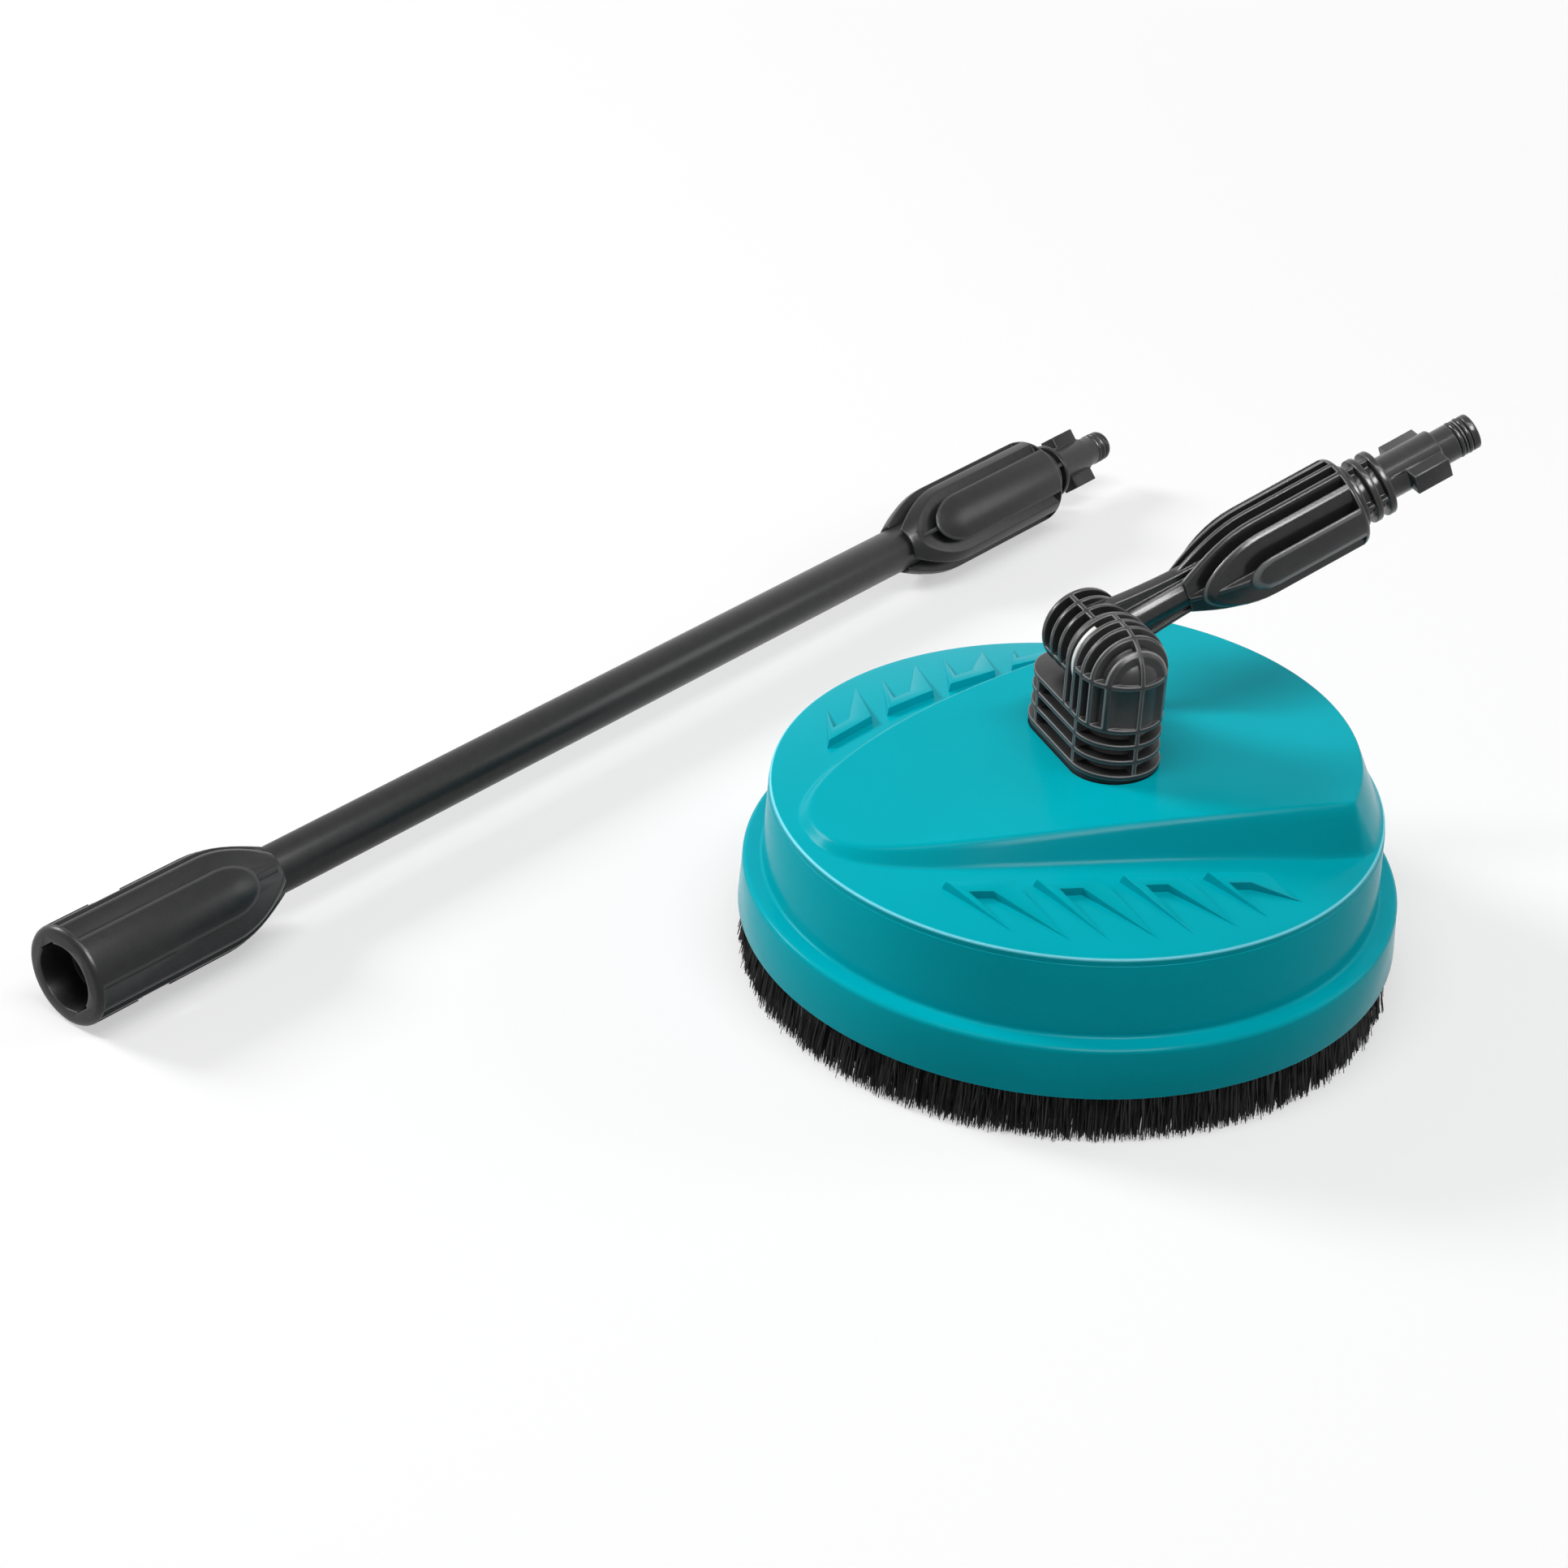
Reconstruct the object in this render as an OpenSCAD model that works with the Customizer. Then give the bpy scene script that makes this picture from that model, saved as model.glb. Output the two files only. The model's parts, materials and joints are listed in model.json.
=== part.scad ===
// Pressure-washer surface cleaner: a round brushed deck with a spray rotor, a tilting handle and a loose lance.
// Millimetres. The floor is z = 0, the rotor turns about the z axis, and the handle points to +y.

/* [Deck] */
// Radius of the skirt at its lower edge
deck_r = 150; // [140:1:165]
// Height of the skirt, from its lower edge to the ledge
skirt_h = 24.6; // [22:0.2:30]
// How much narrower the skirt is at its top
skirt_draft = 1.2; // [0.4:0.2:2]
// Width of the ledge between the skirt and the upper wall
ledge_w = 9; // [8:0.5:11]
// Height of the upper wall, from the ledge to the rim
wall_h = 38.4; // [36:0.2:46]
// How much narrower the upper wall is at the rim
wall_draft = 2.2; // [1:0.2:4]
// Thickness of the moulded shell
shell_t = 3; // [2:0.25:3.5]
// Rise of the domed deck from its rim to its middle
dome_h = 13.5; // [10:0.5:16]
// Radius on the moulded edges of the shell
edge_r = 2.5; // [1.5:0.25:3]

/* [Plateau] */
// Height of the plateau above the rim
plateau_h = 26; // [24:0.5:30]
// Fall of the plateau from its middle to its front tip
plateau_drop = 21.5; // [18:0.5:23]
// Half width of the plateau abreast of the rotor
plateau_half_w = 71; // [66:1:76]
// Distance of the front tip from the rim
tip_margin = 6.5; // [5:0.5:10]
// Width of the sloped side of the plateau, seen from above
foot_w = 8; // [5:0.5:9]
// Radius of the plateau's rear edge
plateau_rear_r = 121.5; // [116:0.5:126]
// Height of the raised teeth on the deck
tooth_h = 3.8; // [2:0.2:4.4]

/* [Brush] */
// Height of the bristles below the skirt
bristle_h = 24; // [18:1:30]
// Width of a bristle tuft
tuft_w = 2; // [1.4:0.1:2.4]
// How far the tufts lean outwards
tuft_lean = 3; // [1:0.5:3.5]
// Thickness of the backing slice that carries the tufts
backing_t = 3; // [2:0.5:4]
// Height of the ring above the backing
ring_h = 9; // [7:0.5:10]

/* [Tower] */
// Half width of the tower
tower_r = 20.25; // [19:0.25:22]
// Half length of the tower along the pivot
tower_half_l = 38.8; // [38:0.2:42]
// Distance of the tower behind the rotor axis
tower_y = 6; // [4:0.5:8]
// Height of the tower's ledge above the plateau
tower_h = 25; // [22:0.5:28]
// Height of the pivot above the tower's ledge
pivot_h = 20.5; // [20:0.25:24]
// Thickness of the moulded ribs
rib_t = 2; // [1.6:0.1:2.4]
// Depth of the pockets between the ribs
rib_depth = 6; // [4:0.5:7]

/* [Handle] */
// Tilt of the handle above level as it stands
handle_tilt = 22.5; // [0:0.5:60]
// Radius of the knuckle
knuckle_r = 19; // [17.5:0.25:19.5]
// Length of the knuckle along the pivot
knuckle_l = 26; // [22:0.5:28]
// Distance from the pivot to the start of the grip
shank_l = 45; // [42:1:60]
// Length of the grip
grip_l = 86.5; // [75:0.5:110]
// Radius of the grip
grip_r = 21.5; // [19:0.25:23]
// Radius of the pivot pin
pin_r = 7; // [6:0.25:8]

/* [Bayonet] */
// Radius of the spigot's tip
tip_r = 8.4; // [7.5:0.05:9]
// Length of the spigot's tip
tip_l = 19.5; // [18:0.5:24]
// Radius of the bayonet body
bayonet_r = 10.2; // [9.5:0.05:11]
// Length of the bayonet body
bayonet_l = 29.5; // [25:0.5:34]
// Span over the two lugs
lug_span = 32; // [28:0.5:34]
// Radius of the collars
collar_r = 15.5; // [13.5:0.25:16.5]

/* [Rotor] */
// Distance of the nozzles from the rotor axis
arm_r = 105; // [90:1:108]
// Height of the spray arm above the floor
arm_z = 47; // [44:0.5:52]
// Radius of the spray arm's tube
arm_tube_r = 7.5; // [6.5:0.25:8]
// Radius of the rotor shaft
shaft_r = 9; // [8:0.25:10]

/* [Lance] */
// Overall length of the lance
lance_l = 766; // [500:1:900]
// Radius of the lance's tube
lance_tube_r = 12; // [11:0.25:13]
// Radius of the lance's grip and socket
lance_body_r = 24; // [22:0.25:27]
// Length of the lance's grip
lance_grip_l = 122; // [90:1:140]
// Length of the lance's socket
socket_l = 118; // [90:1:140]

/* [Hidden] */
$fn = 64;

// Colours
teal = "#00acbc";
black = "#2c2c2e";
rubber_black = "#18181a";
bristle_black = "#141414";
white = "#f0f0ee";
steel = "#b8babc";
bronze = "#b08a4a";

// Clearances: between seated pieces, between running pieces, and between turning faces
seat_gap = 0.05;
run_gap = 0.06;
turn_gap = 0.6;
// How far a cut or a fused piece runs past the face it meets
sink = 1;

// Heights of the deck
ledge_z = bristle_h + skirt_h;
rim_z = ledge_z + wall_h;
plateau_z = rim_z + plateau_h;
skirt_top_r = deck_r - skirt_draft;
wall_low_r = skirt_top_r - ledge_w;
rim_r = wall_low_r - wall_draft;

// Plateau outline
tip_y = -(rim_r - tip_margin);
plateau_power = 0.43;
plateau_stations = 22;
plateau_root = 8;
foot_sink = 0.2;
rim_inset = 0.4;
// Rounded upper edge of the plateau: its size, and its points out from and down from the sharp corner
crease_r = 1.5;
crease_points = [[0.8, 1], [0, 0.3], [-1, 0]];

// Teeth: four on each side, between the foot of the plateau and the rim
tooth_count = 4;
tooth_first = -96;
tooth_pitch = 36;
tooth_margin = 13.3;
tooth_bar_l = 28;
tooth_bar_w = 3.5;
tooth_inner = [11, 22.5];
tooth_reach = [20, 41];
tooth_edge = 9.5;

// Brush
segment_count = 8;
segment_gap = 0.8;
tufts_per_row = 25;
tuft_rows = [-2, 2.4];
brush_gap = 0.4;
ring_outer_r = deck_r - shell_t - skirt_draft - brush_gap;
backing_w = 10;
ring_flange_w = 9;
backing_mid_r = ring_outer_r - backing_w / 2;
ring_inner_r = ring_outer_r - backing_w - ring_flange_w;
ring_screw_r = ring_inner_r + ring_flange_w / 2;
backing_z = bristle_h;
ring_z = backing_z + backing_t;
segment_angle = 360 / segment_count;
gap_angle = 2 * asin(segment_gap / 2 / backing_mid_r);

// Fasteners
screw_r = 1.5;
screw_clear = 0.2;
screw_head_r = 3;
screw_head_h = 2.4;
screw_slot = 0.8;
boss_r = 4;
ring_bite = 6;
tower_bite = 5;
hole_spare = 1;

// Tower
cap_x = tower_half_l - tower_r;
tower_gap = 0.6;
bead_w = 0.8;
bead_gap = 0.3;
panel_depth = 1.2;
ledge_top = plateau_z + tower_h;
pivot_z = ledge_top + pivot_h;
boss_drop = 6;
flange_top = plateau_z - shell_t - boss_drop;
flange_t = 4;
flange_low = flange_top - flange_t;
flange_w = 12;
tower_boss_out = 6.5;
tower_boss_y = tower_r + tower_boss_out;
handle_x = -8.5;
knuckle_face = handle_x + knuckle_l / 2;
ear_x = knuckle_face + turn_gap;
ear_bays = 5;
ear_pitch = (tower_half_l - ear_x) / ear_bays;
ring_bays = 3;
ring_pitch = (tower_h - rib_t) / ring_bays;
passage_r = 4;
passage_out = 6;
passage_x = cap_x + passage_out;
passage_z = flange_top + passage_out;

// Pivot pin and its clip
pin_wall = 4;
pin_reach = 4;
pin_inner_l = knuckle_l - pin_wall;
pin_low_x = knuckle_face - pin_inner_l;
pin_high_x = cap_x + pin_reach;
clip_t = 2.2;
clip_space = 1.2;
clip_inset = 0.8;
clip_x = ear_x + rib_t + clip_space;
clip_r = tower_r - clip_inset;
clip_hub_r = pin_r + 4;
clip_span = [-40, 10, 60];
groove_depth = 1.6;
clip_gap = 0.35;
o_ring_r = 1.4;
pin_ring_x = [for (d = [8, 3.5]) pin_high_x - d];

// Handle, measured along its axis from the pivot
neck_r = 10.5;
ogive_l = 38;
rod_r = 7.2;
web_t = 4;
web_h = 16;
web_steps = 8;
lip_w = 6;
lip_t = 2;
bore_r = 3;
grip_groove = 7;
grip_plates = [0, 6.8, 13.6];
grip_panel_in = 1.5;
grip_end_t = 3;
grip_end_r = 3;
ridge_in = 1;
grip_end = shank_l + grip_l;

// Bayonet spigot, measured from the end of the grip
collar_zone = 17;
collar_count = 3;
collar_t = 3;
collar_core_r = bayonet_r + 1;
collar_web_r = collar_r - 1;
plug_r = bayonet_r - 1;
plug_l = 20;
lug_w = 9.8;
lug_l = 18;
lug_inset = 1;
body_end = collar_zone + bayonet_l;
lug_y = body_end - lug_inset - lug_l;
spigot_l = body_end + tip_l;
tip_ring_proud = 0.2;
tip_ring_d = [4.8, 8.8];
ring_groove = 0.1;

// Rotor
swivel_r = 17;
swivel_l = 36;
swivel_low = flange_low - swivel_l;
bush_wall = 3.5;
bush_r = shaft_r + bush_wall;
bush_l = 22;
seal_h = 4;
seal_gap = 0.35;
bush_z = swivel_low + seal_h;
bush_top = bush_z + bush_l;
nut_gap = 0.3;
nut_h = 5;
shaft_step = 3;
stub_r = shaft_r - shaft_step;
nut_r = bush_r - 1;
chamber_top = bush_top + nut_h + 3;
hub_r = 18;
hub_low = arm_z - arm_tube_r - 3;
hub_top = swivel_low - turn_gap;
tube_wall = 3;
arm_bore_r = arm_tube_r - tube_wall;
nozzle_r = 10;
nozzle_wall = 2;
nozzle_low = arm_z - arm_tube_r - nozzle_wall;
nozzle_top = arm_z + arm_tube_r + nozzle_wall;
nozzle_seat = 3;
insert_r = 3.5;
insert_l = 9;
insert_bite = 5;
jet_r = 1;

// Lance, lying on the floor beside the deck
lance_turn = 27.1;
lance_roll = 50;
lance_mouth = [-90, -441.5];
lance_z = lance_body_r;
lance_bore_r = lance_tube_r - tube_wall;
lance_neck_r = lance_tube_r + 1.5;
tube_bite = 14;
lance_grip_y = lance_l - spigot_l - lance_grip_l;
lance_groove = 7;
lance_panel_in = 4;
lance_plates = [0, 12.9];
lance_plate_t = 5.4;
socket_panel_in = 3.3;
socket_plates = [0, 6.2, 12.4];

// Bore of the lance's socket, from its mouth: room for the collars, the bayonet body, the tip and the seal
collar_clear = 0.5;
body_clear = 0.4;
tip_clear = 0.25;
lug_clear = 0.4;
window_clear = 1;
socket_wall = 2;
socket_collar_r = collar_r + collar_clear;
socket_body_r = bayonet_r + body_clear;
socket_tip_r = tip_r + tip_clear;
socket_core_r = max(lug_span / 2 + lug_clear, socket_collar_r) + socket_wall;
seal_t = 2;
seal_lip = 1;
seal_r = socket_tip_r + seal_lip;

// Height of the domed deck at a radius
function dome_z(r) = rim_z + dome_h * (1 - pow(min(1, r / rim_r), 2));

// Points of an arc about a centre
function arc(c, r, a0, a1, n) = [for (i = [0:n]) let (a = a0 + (a1 - a0) * i / n) c + r * [cos(a), sin(a)]];

// Half width of the plateau's upper edge, and the height of its top, at a place along the deck
function plateau_w(y) = plateau_half_w * pow(max(0, (y - tip_y) / -tip_y), plateau_power);
function plateau_top(y) = plateau_z - (y < 0 ? plateau_drop * pow(y / tip_y, 2) : 0);

// A point on the plateau's upper edge, and the outward direction there
function station(i) = let (y = tip_y + (rim_r - tip_y) * pow(i / plateau_stations, 2)) [plateau_w(y), y];
function outward(i) =
  i == 0 ? [0, -1] :
  i == plateau_stations ? [1, 0] :
  let (d = station(i + 1) - station(i - 1)) [d[1], -d[0]] / norm(d);

// One ring of the plateau's wall, from its rear on one side round the tip to its rear on the other
function plateau_ring(off, height) =
  [for (j = [-plateau_stations:plateau_stations])
    let (i = abs(j), s = j < 0 ? -1 : 1, p = station(i) + off * outward(i))
    [s * p[0], p[1], height(i, p)]];

// Triangles of a wall between two neighbouring rings of n points
function wall_faces(a, b, n) =
  [for (j = [0:n - 2]) for (t = [[a + j, b + j + 1, a + j + 1], [a + j, b + j, b + j + 1]]) t];

// Triangles of a lid across a ring that is folded at its middle
function lid_faces(a, half, up) =
  [for (j = [0:half - 1])
    let (l0 = a + half - j, r0 = a + half + j, l1 = l0 - 1, r1 = r0 + 1)
    for (t = j == 0 ? [[l0, l1, r1]] : [[l0, l1, r1], [l0, r1, r0]])
    up ? t : [t[0], t[2], t[1]]];

// Raised leaf on the deck, inset by a wall thickness where its hollow is wanted
module plateau(inset) {
  half = plateau_stations;
  count = 2 * half + 1;
  foot = foot_w - inset;
  low = rim_z - plateau_root - inset - sink;
  rings = concat(
    [
      plateau_ring(foot, function (i, p) rim_z - plateau_root - inset),
      plateau_ring(foot, function (i, p) dome_z(norm(p)) - inset - foot_sink)
    ],
    [for (c = crease_r * crease_points)
      plateau_ring(c[0] - inset, function (i, p) plateau_top(station(i)[1]) - inset - c[1])]
  );
  last = len(rings) - 1;
  walls = [for (k = [0:last - 1]) each wall_faces(k * count, (k + 1) * count, count)];
  rear = [for (k = [0:last - 1])
    let (l0 = k * count, l1 = (k + 1) * count, r0 = l0 + count - 1, r1 = l1 + count - 1)
    each [[l0, r1, l1], [l0, r0, r1]]];
  lids = concat(lid_faces(last * count, half, true), lid_faces(0, half, false));
  intersection() {
    polyhedron(points = [for (r = rings) each r], faces = concat(walls, rear, lids));
    rotate_extrude()
      polygon(concat(
        [[0, low], [rim_r - rim_inset - inset, low], [rim_r - rim_inset - inset, rim_z - inset]],
        [for (c = crease_r * crease_points) [plateau_rear_r + c[0] - inset, plateau_z - inset - c[1]]],
        [[0, plateau_z - inset + sink]]
      ));
  }
}

// Solid of revolution of the deck: skirt, ledge, upper wall and dome
module deck_round(inset) {
  e = max(0.5, edge_r - inset / 2);
  dome_steps = 8;
  dome_start = rim_r - inset - e;
  rotate_extrude($fn = 96)
    polygon(concat(
      [[0, bristle_h - (inset > 0 ? sink : 0)], [deck_r - inset, bristle_h - (inset > 0 ? sink : 0)]],
      arc([skirt_top_r - inset - e, ledge_z - inset - e], e, 0, 90, 4),
      arc([wall_low_r - inset + e, ledge_z - inset + e], e, 270, 180, 4),
      arc([rim_r - inset - e, rim_z - inset - e], e, 0, 70, 4),
      [for (i = [0:dome_steps]) let (r = dome_start * (1 - i / dome_steps)) [r, dome_z(r) - inset]]
    ));
}

// One raised tooth: a bar near the plateau with two prongs that run out to points
module tooth(i) {
  y0 = tooth_first + tooth_pitch * i;
  edge = rim_r - tooth_edge;
  bar = function (d, w) [plateau_w(y0 + d) + foot_w + tooth_margin + w, y0 + d];
  point = function (d) [sqrt(edge * edge - pow(y0 + d, 2)), y0 + d];
  outline = [
    bar(0, 0), bar(tooth_bar_l, 0), point(tooth_reach[1]),
    bar(tooth_inner[1], tooth_bar_w), bar(tooth_inner[0], tooth_bar_w), point(tooth_reach[0])
  ];
  rise = [tooth_h, tooth_h, 0, tooth_h, tooth_h, 0];
  n = len(outline);
  low = [for (p = outline) [p[0], p[1], dome_z(norm(p)) - sink]];
  high = [for (k = [0:n - 1]) [outline[k][0], outline[k][1], low[k][2] + sink + rise[k]]];
  top = [[0, 1, 3], [0, 3, 4], [1, 2, 3], [0, 4, 5]];
  polyhedron(
    points = concat(low, high),
    faces = concat(
      [for (t = top) [t[2], t[1], t[0]]],
      [for (t = top) [t[0] + n, t[1] + n, t[2] + n]],
      [for (k = [0:n - 1]) let (m = (k + 1) % n) each [[k, m, m + n], [k, m + n, k + n]]]
    )
  );
}

// Upright plate shape of the tower: two round ends joined by a straight block
module long_round(half_l, r, h) {
  x = half_l - r;
  for (s = [-1, 1])
    translate([s * x, 0, 0])
      cylinder(r = r, h = h);
  translate([-x, -r, 0])
    cube([2 * x, 2 * r, h]);
}

// Places of the tower's four screws and of the ring's screws
module at_tower_screws() {
  for (sx = [-1, 1], sy = [-1, 1])
    translate([sx * cap_x, tower_y + sy * tower_boss_y, 0])
      children();
}

module at_ring_screws() {
  for (i = [0:segment_count - 1])
    rotate([0, 0, i * segment_angle])
      translate([ring_screw_r, 0, 0])
        children();
}

// A screw with its head down at z = 0 and its shank going up
module screw(l) {
  cylinder(r = screw_r - seat_gap, h = l);
  translate([0, 0, -screw_head_h])
    difference() {
      cylinder(r = screw_head_r, h = screw_head_h);
      translate([-screw_head_r, -screw_slot / 2, -sink])
        cube([2 * screw_head_r, screw_slot, sink + screw_slot]);
    }
}

module deck_shell() {
  ring_boss_z = ring_z + ring_h;
  color(teal)
    difference() {
      union() {
        difference() {
          union() {
            deck_round(0);
            plateau(0);
            for (i = [0:tooth_count - 1], s = [0, 1])
              mirror([s, 0, 0])
                tooth(i);
          }
          deck_round(shell_t);
          plateau(shell_t);
        }
        at_tower_screws()
          translate([0, 0, flange_top])
            cylinder(r = boss_r, h = boss_drop + shell_t / 2);
        at_ring_screws()
          translate([0, 0, ring_boss_z])
            cylinder(r = boss_r, h = rim_z - shell_t / 2 - ring_boss_z);
      }
      translate([0, tower_y, plateau_z - plateau_h])
        long_round(tower_half_l + tower_gap, tower_r + tower_gap, 2 * plateau_h);
      at_tower_screws()
        translate([0, 0, flange_top - sink])
          cylinder(r = screw_r, h = tower_bite + hole_spare + sink);
      at_ring_screws()
        translate([0, 0, ring_boss_z - sink])
          cylinder(r = screw_r, h = ring_bite + hole_spare + sink);
    }
}

module brush_ring() {
  color(black)
    difference() {
      translate([0, 0, ring_z])
        difference() {
          cylinder(r = ring_outer_r, h = ring_h, $fn = 96);
          translate([0, 0, -sink])
            cylinder(r = ring_inner_r, h = ring_h + 2 * sink, $fn = 96);
        }
      at_ring_screws()
        translate([0, 0, ring_z - sink])
          cylinder(r = screw_r + screw_clear, h = ring_h + 2 * sink);
    }
}

module brush_ring_screws() {
  color(steel)
    at_ring_screws()
      translate([0, 0, ring_z])
        screw(ring_h + ring_bite);
}

// One leaning tuft of four sides, from inside the backing down to the floor
module tuft(r, a) {
  w = tuft_w / 2;
  top_z = backing_z + backing_t / 2;
  corners = [[-w, -w], [w, -w], [w, w], [-w, w]];
  rotate([0, 0, a])
    polyhedron(
      points = concat(
        [for (c = corners) [r + c[0], c[1], top_z]],
        [for (c = corners) [r + tuft_lean + c[0], c[1], 0]]
      ),
      faces = [
        [0, 2, 1], [0, 3, 2], [4, 5, 6], [4, 6, 7],
        [0, 1, 5], [0, 5, 4], [1, 2, 6], [1, 6, 5], [2, 3, 7], [2, 7, 6], [3, 0, 4], [3, 4, 7]
      ]
    );
}

// An arc of the brush: a slice of backing with two staggered rows of tufts
module brush_segment(k) {
  span = segment_angle - gap_angle;
  start = k * segment_angle + gap_angle / 2;
  step = span / (tufts_per_row + 0.5);
  color(bristle_black)
    union() {
      rotate([0, 0, start])
        translate([0, 0, backing_z])
          rotate_extrude(angle = span, $fn = 96)
            translate([backing_mid_r - backing_w / 2, 0])
              square([backing_w, backing_t]);
      for (row = [0, 1], i = [0:tufts_per_row - 1])
        tuft(backing_mid_r + tuft_rows[row], start + step * (i + 0.5 + row / 2));
    }
}

// Whole outside of the ear, or of its core, drawn in at its sides and less at its end
module ear_form(inset, end_inset) {
  r = tower_r - inset;
  h = pivot_z - ledge_top;
  x = cap_x + inset - end_inset;
  far = 2 * tower_half_l;
  intersection() {
    union() {
      translate([ear_x, tower_y - r, ledge_top - sink])
        cube([x - ear_x, 2 * r, h + sink]);
      translate([x, tower_y, ledge_top - sink])
        cylinder(r = r, h = h + sink);
      translate([ear_x, tower_y, pivot_z])
        rotate([0, 90, 0])
          cylinder(r = r, h = x - ear_x);
      translate([x, tower_y, pivot_z])
        sphere(r = r);
    }
    translate([ear_x, tower_y - far / 2, ledge_top - sink])
      cube([far, far, far]);
  }
}

// Rib plates that cross the ear: square to the pivot, upright along it, and level with it beyond the clip's bay
module ear_plates() {
  far = tower_half_l * 2;
  for (i = [0:ear_bays - 1])
    translate([ear_x + i * ear_pitch, tower_y - far / 2, ledge_top - sink])
      cube([rib_t, far, far]);
  translate([ear_x, tower_y - rib_t / 2, ledge_top - sink])
    cube([far, rib_t, far]);
  translate([ear_x + ear_pitch, tower_y - far / 2, pivot_z - rib_t / 2])
    cube([far, far, rib_t]);
}

// Retaining clip: a fork that straddles the groove of the pin, with a broad back that shows at the front
module clip_form(grow) {
  fork = pin_r - groove_depth + clip_gap - grow;
  spare = atan(grow / clip_hub_r);
  ends = clip_span + [-spare, 0, spare];
  translate([clip_x - grow, tower_y, pivot_z])
    difference() {
      union() {
        rotate([0, 90, 0])
          cylinder(r = clip_hub_r + grow, h = clip_t + 2 * grow);
        intersection() {
          rotate([0, 90, 0])
            cylinder(r = clip_r + grow, h = clip_t + 2 * grow);
          rotate([90, 0, 90])
            linear_extrude(clip_t + 2 * grow)
              polygon(concat([[0, 0]], [for (a = ends) 2 * clip_r * [-cos(a), sin(a)]]));
        }
      }
      rotate([0, 90, 0])
        translate([0, 0, -sink])
          cylinder(r = fork, h = clip_t + 2 * grow + 2 * sink);
      translate([-sink, 0, -fork])
        cube([clip_t + 2 * grow + 2 * sink, 2 * clip_r, 2 * fork]);
    }
}

// Lower block of the tower: a drawn-in core with level rings and upright ribs
module tower_block() {
  translate([0, tower_y, flange_top - sink])
    long_round(tower_half_l - rib_depth, tower_r - rib_depth, ledge_top - rib_t / 2 - flange_top + sink);
  translate([0, tower_y, flange_top - sink])
    long_round(tower_half_l, tower_r, plateau_z + rib_t - flange_top + sink);
  translate([0, tower_y, plateau_z + bead_gap])
    long_round(tower_half_l + bead_w, tower_r + bead_w, rib_t);
  for (i = [1:ring_bays])
    translate([0, tower_y, plateau_z + i * ring_pitch])
      long_round(tower_half_l, tower_r, rib_t);
  intersection() {
    translate([0, tower_y, plateau_z])
      long_round(tower_half_l, tower_r, tower_h);
    union() {
      for (s = [-1, 1])
        translate([s * cap_x - rib_t / 2, tower_y - 2 * tower_r, plateau_z])
          cube([rib_t, 4 * tower_r, tower_h]);
      translate([-2 * tower_half_l, tower_y - rib_t / 2, plateau_z])
        cube([4 * tower_half_l, rib_t, tower_h]);
    }
  }
}

module pivot_tower() {
  color(black)
    difference() {
      union() {
        tower_block();
        ear_form(rib_depth, panel_depth);
        intersection() {
          ear_form(0, 0);
          ear_plates();
        }
        translate([0, tower_y, flange_low])
          long_round(tower_half_l + flange_w, tower_r + flange_w, flange_t);
        translate([0, 0, swivel_low])
          cylinder(r = swivel_r, h = flange_low - swivel_low + sink);
      }
      // Seats of the seal and the bush, and the water's way up to the pivot
      translate([0, 0, swivel_low - sink])
        cylinder(r = bush_r + seat_gap, h = chamber_top - swivel_low + sink);
      translate([0, tower_y / 2, chamber_top - sink])
        cylinder(r = passage_r, h = passage_z - chamber_top + sink);
      translate([0, tower_y / 2, passage_z])
        rotate([0, 90, 0])
          cylinder(r = passage_r, h = passage_x);
      translate([passage_x, tower_y / 2, passage_z - passage_r])
        cylinder(r = passage_r, h = pivot_z - passage_z + passage_r);
      translate([ear_x - sink, tower_y, pivot_z])
        rotate([0, 90, 0])
          cylinder(r = pin_r + run_gap, h = pin_high_x - ear_x + sink + turn_gap);
      clip_form(seat_gap);
      at_tower_screws()
        translate([0, 0, flange_low - sink])
          cylinder(r = screw_r + screw_clear, h = flange_t + 2 * sink);
    }
}

module tower_screws() {
  color(steel)
    at_tower_screws()
      translate([0, 0, flange_low])
        screw(flange_t + tower_bite);
}

module pivot_clip() {
  color(white)
    clip_form(0);
}

module swivel_bush() {
  color(bronze)
    translate([0, 0, bush_z])
      difference() {
        cylinder(r = bush_r, h = bush_l);
        translate([0, 0, -sink])
          cylinder(r = shaft_r + run_gap, h = bush_l + 2 * sink);
      }
}

module swivel_seal() {
  color(rubber_black)
    translate([0, 0, swivel_low])
      difference() {
        cylinder(r = bush_r, h = seal_h);
        translate([0, 0, -sink])
          cylinder(r = shaft_r + seal_gap, h = seal_h + 2 * sink);
      }
}

// Places of the handle: its axis along y from the pivot, then tilted up
module at_pivot() {
  translate([0, tower_y, pivot_z])
    rotate([handle_tilt, 0, 0])
      children();
}

module along_y() {
  rotate([-90, 0, 0])
    children();
}

// Bullet-shaped body along y: a neck that swells to a straight barrel with a rounded end
module bullet(neck, r, l, inset) {
  steps = 8;
  along_y()
    rotate_extrude()
      polygon(concat(
        [[0, 0]],
        [for (i = [0:steps])
          [max(1, neck + (r - neck) * sin(90 * i / steps) - inset), ogive_l * i / steps]],
        arc([r - inset - grip_end_r, l - grip_end_r], grip_end_r, 0, 90, 4),
        [[0, l]]
      ));
}

// Torus of an O-ring about the y axis, and the groove that it lies in
module o_ring(outer, section) {
  along_y()
    rotate_extrude()
      translate([outer - section, 0])
        circle(r = section, $fn = 24);
}

module o_groove(outer, section) {
  along_y()
    translate([0, 0, -section - ring_groove])
      difference() {
        cylinder(r = outer + sink, h = 2 * (section + ring_groove));
        translate([0, 0, -sink])
          cylinder(r = outer - 2 * section - ring_groove, h = 2 * (section + ring_groove + sink));
      }
}

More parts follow.
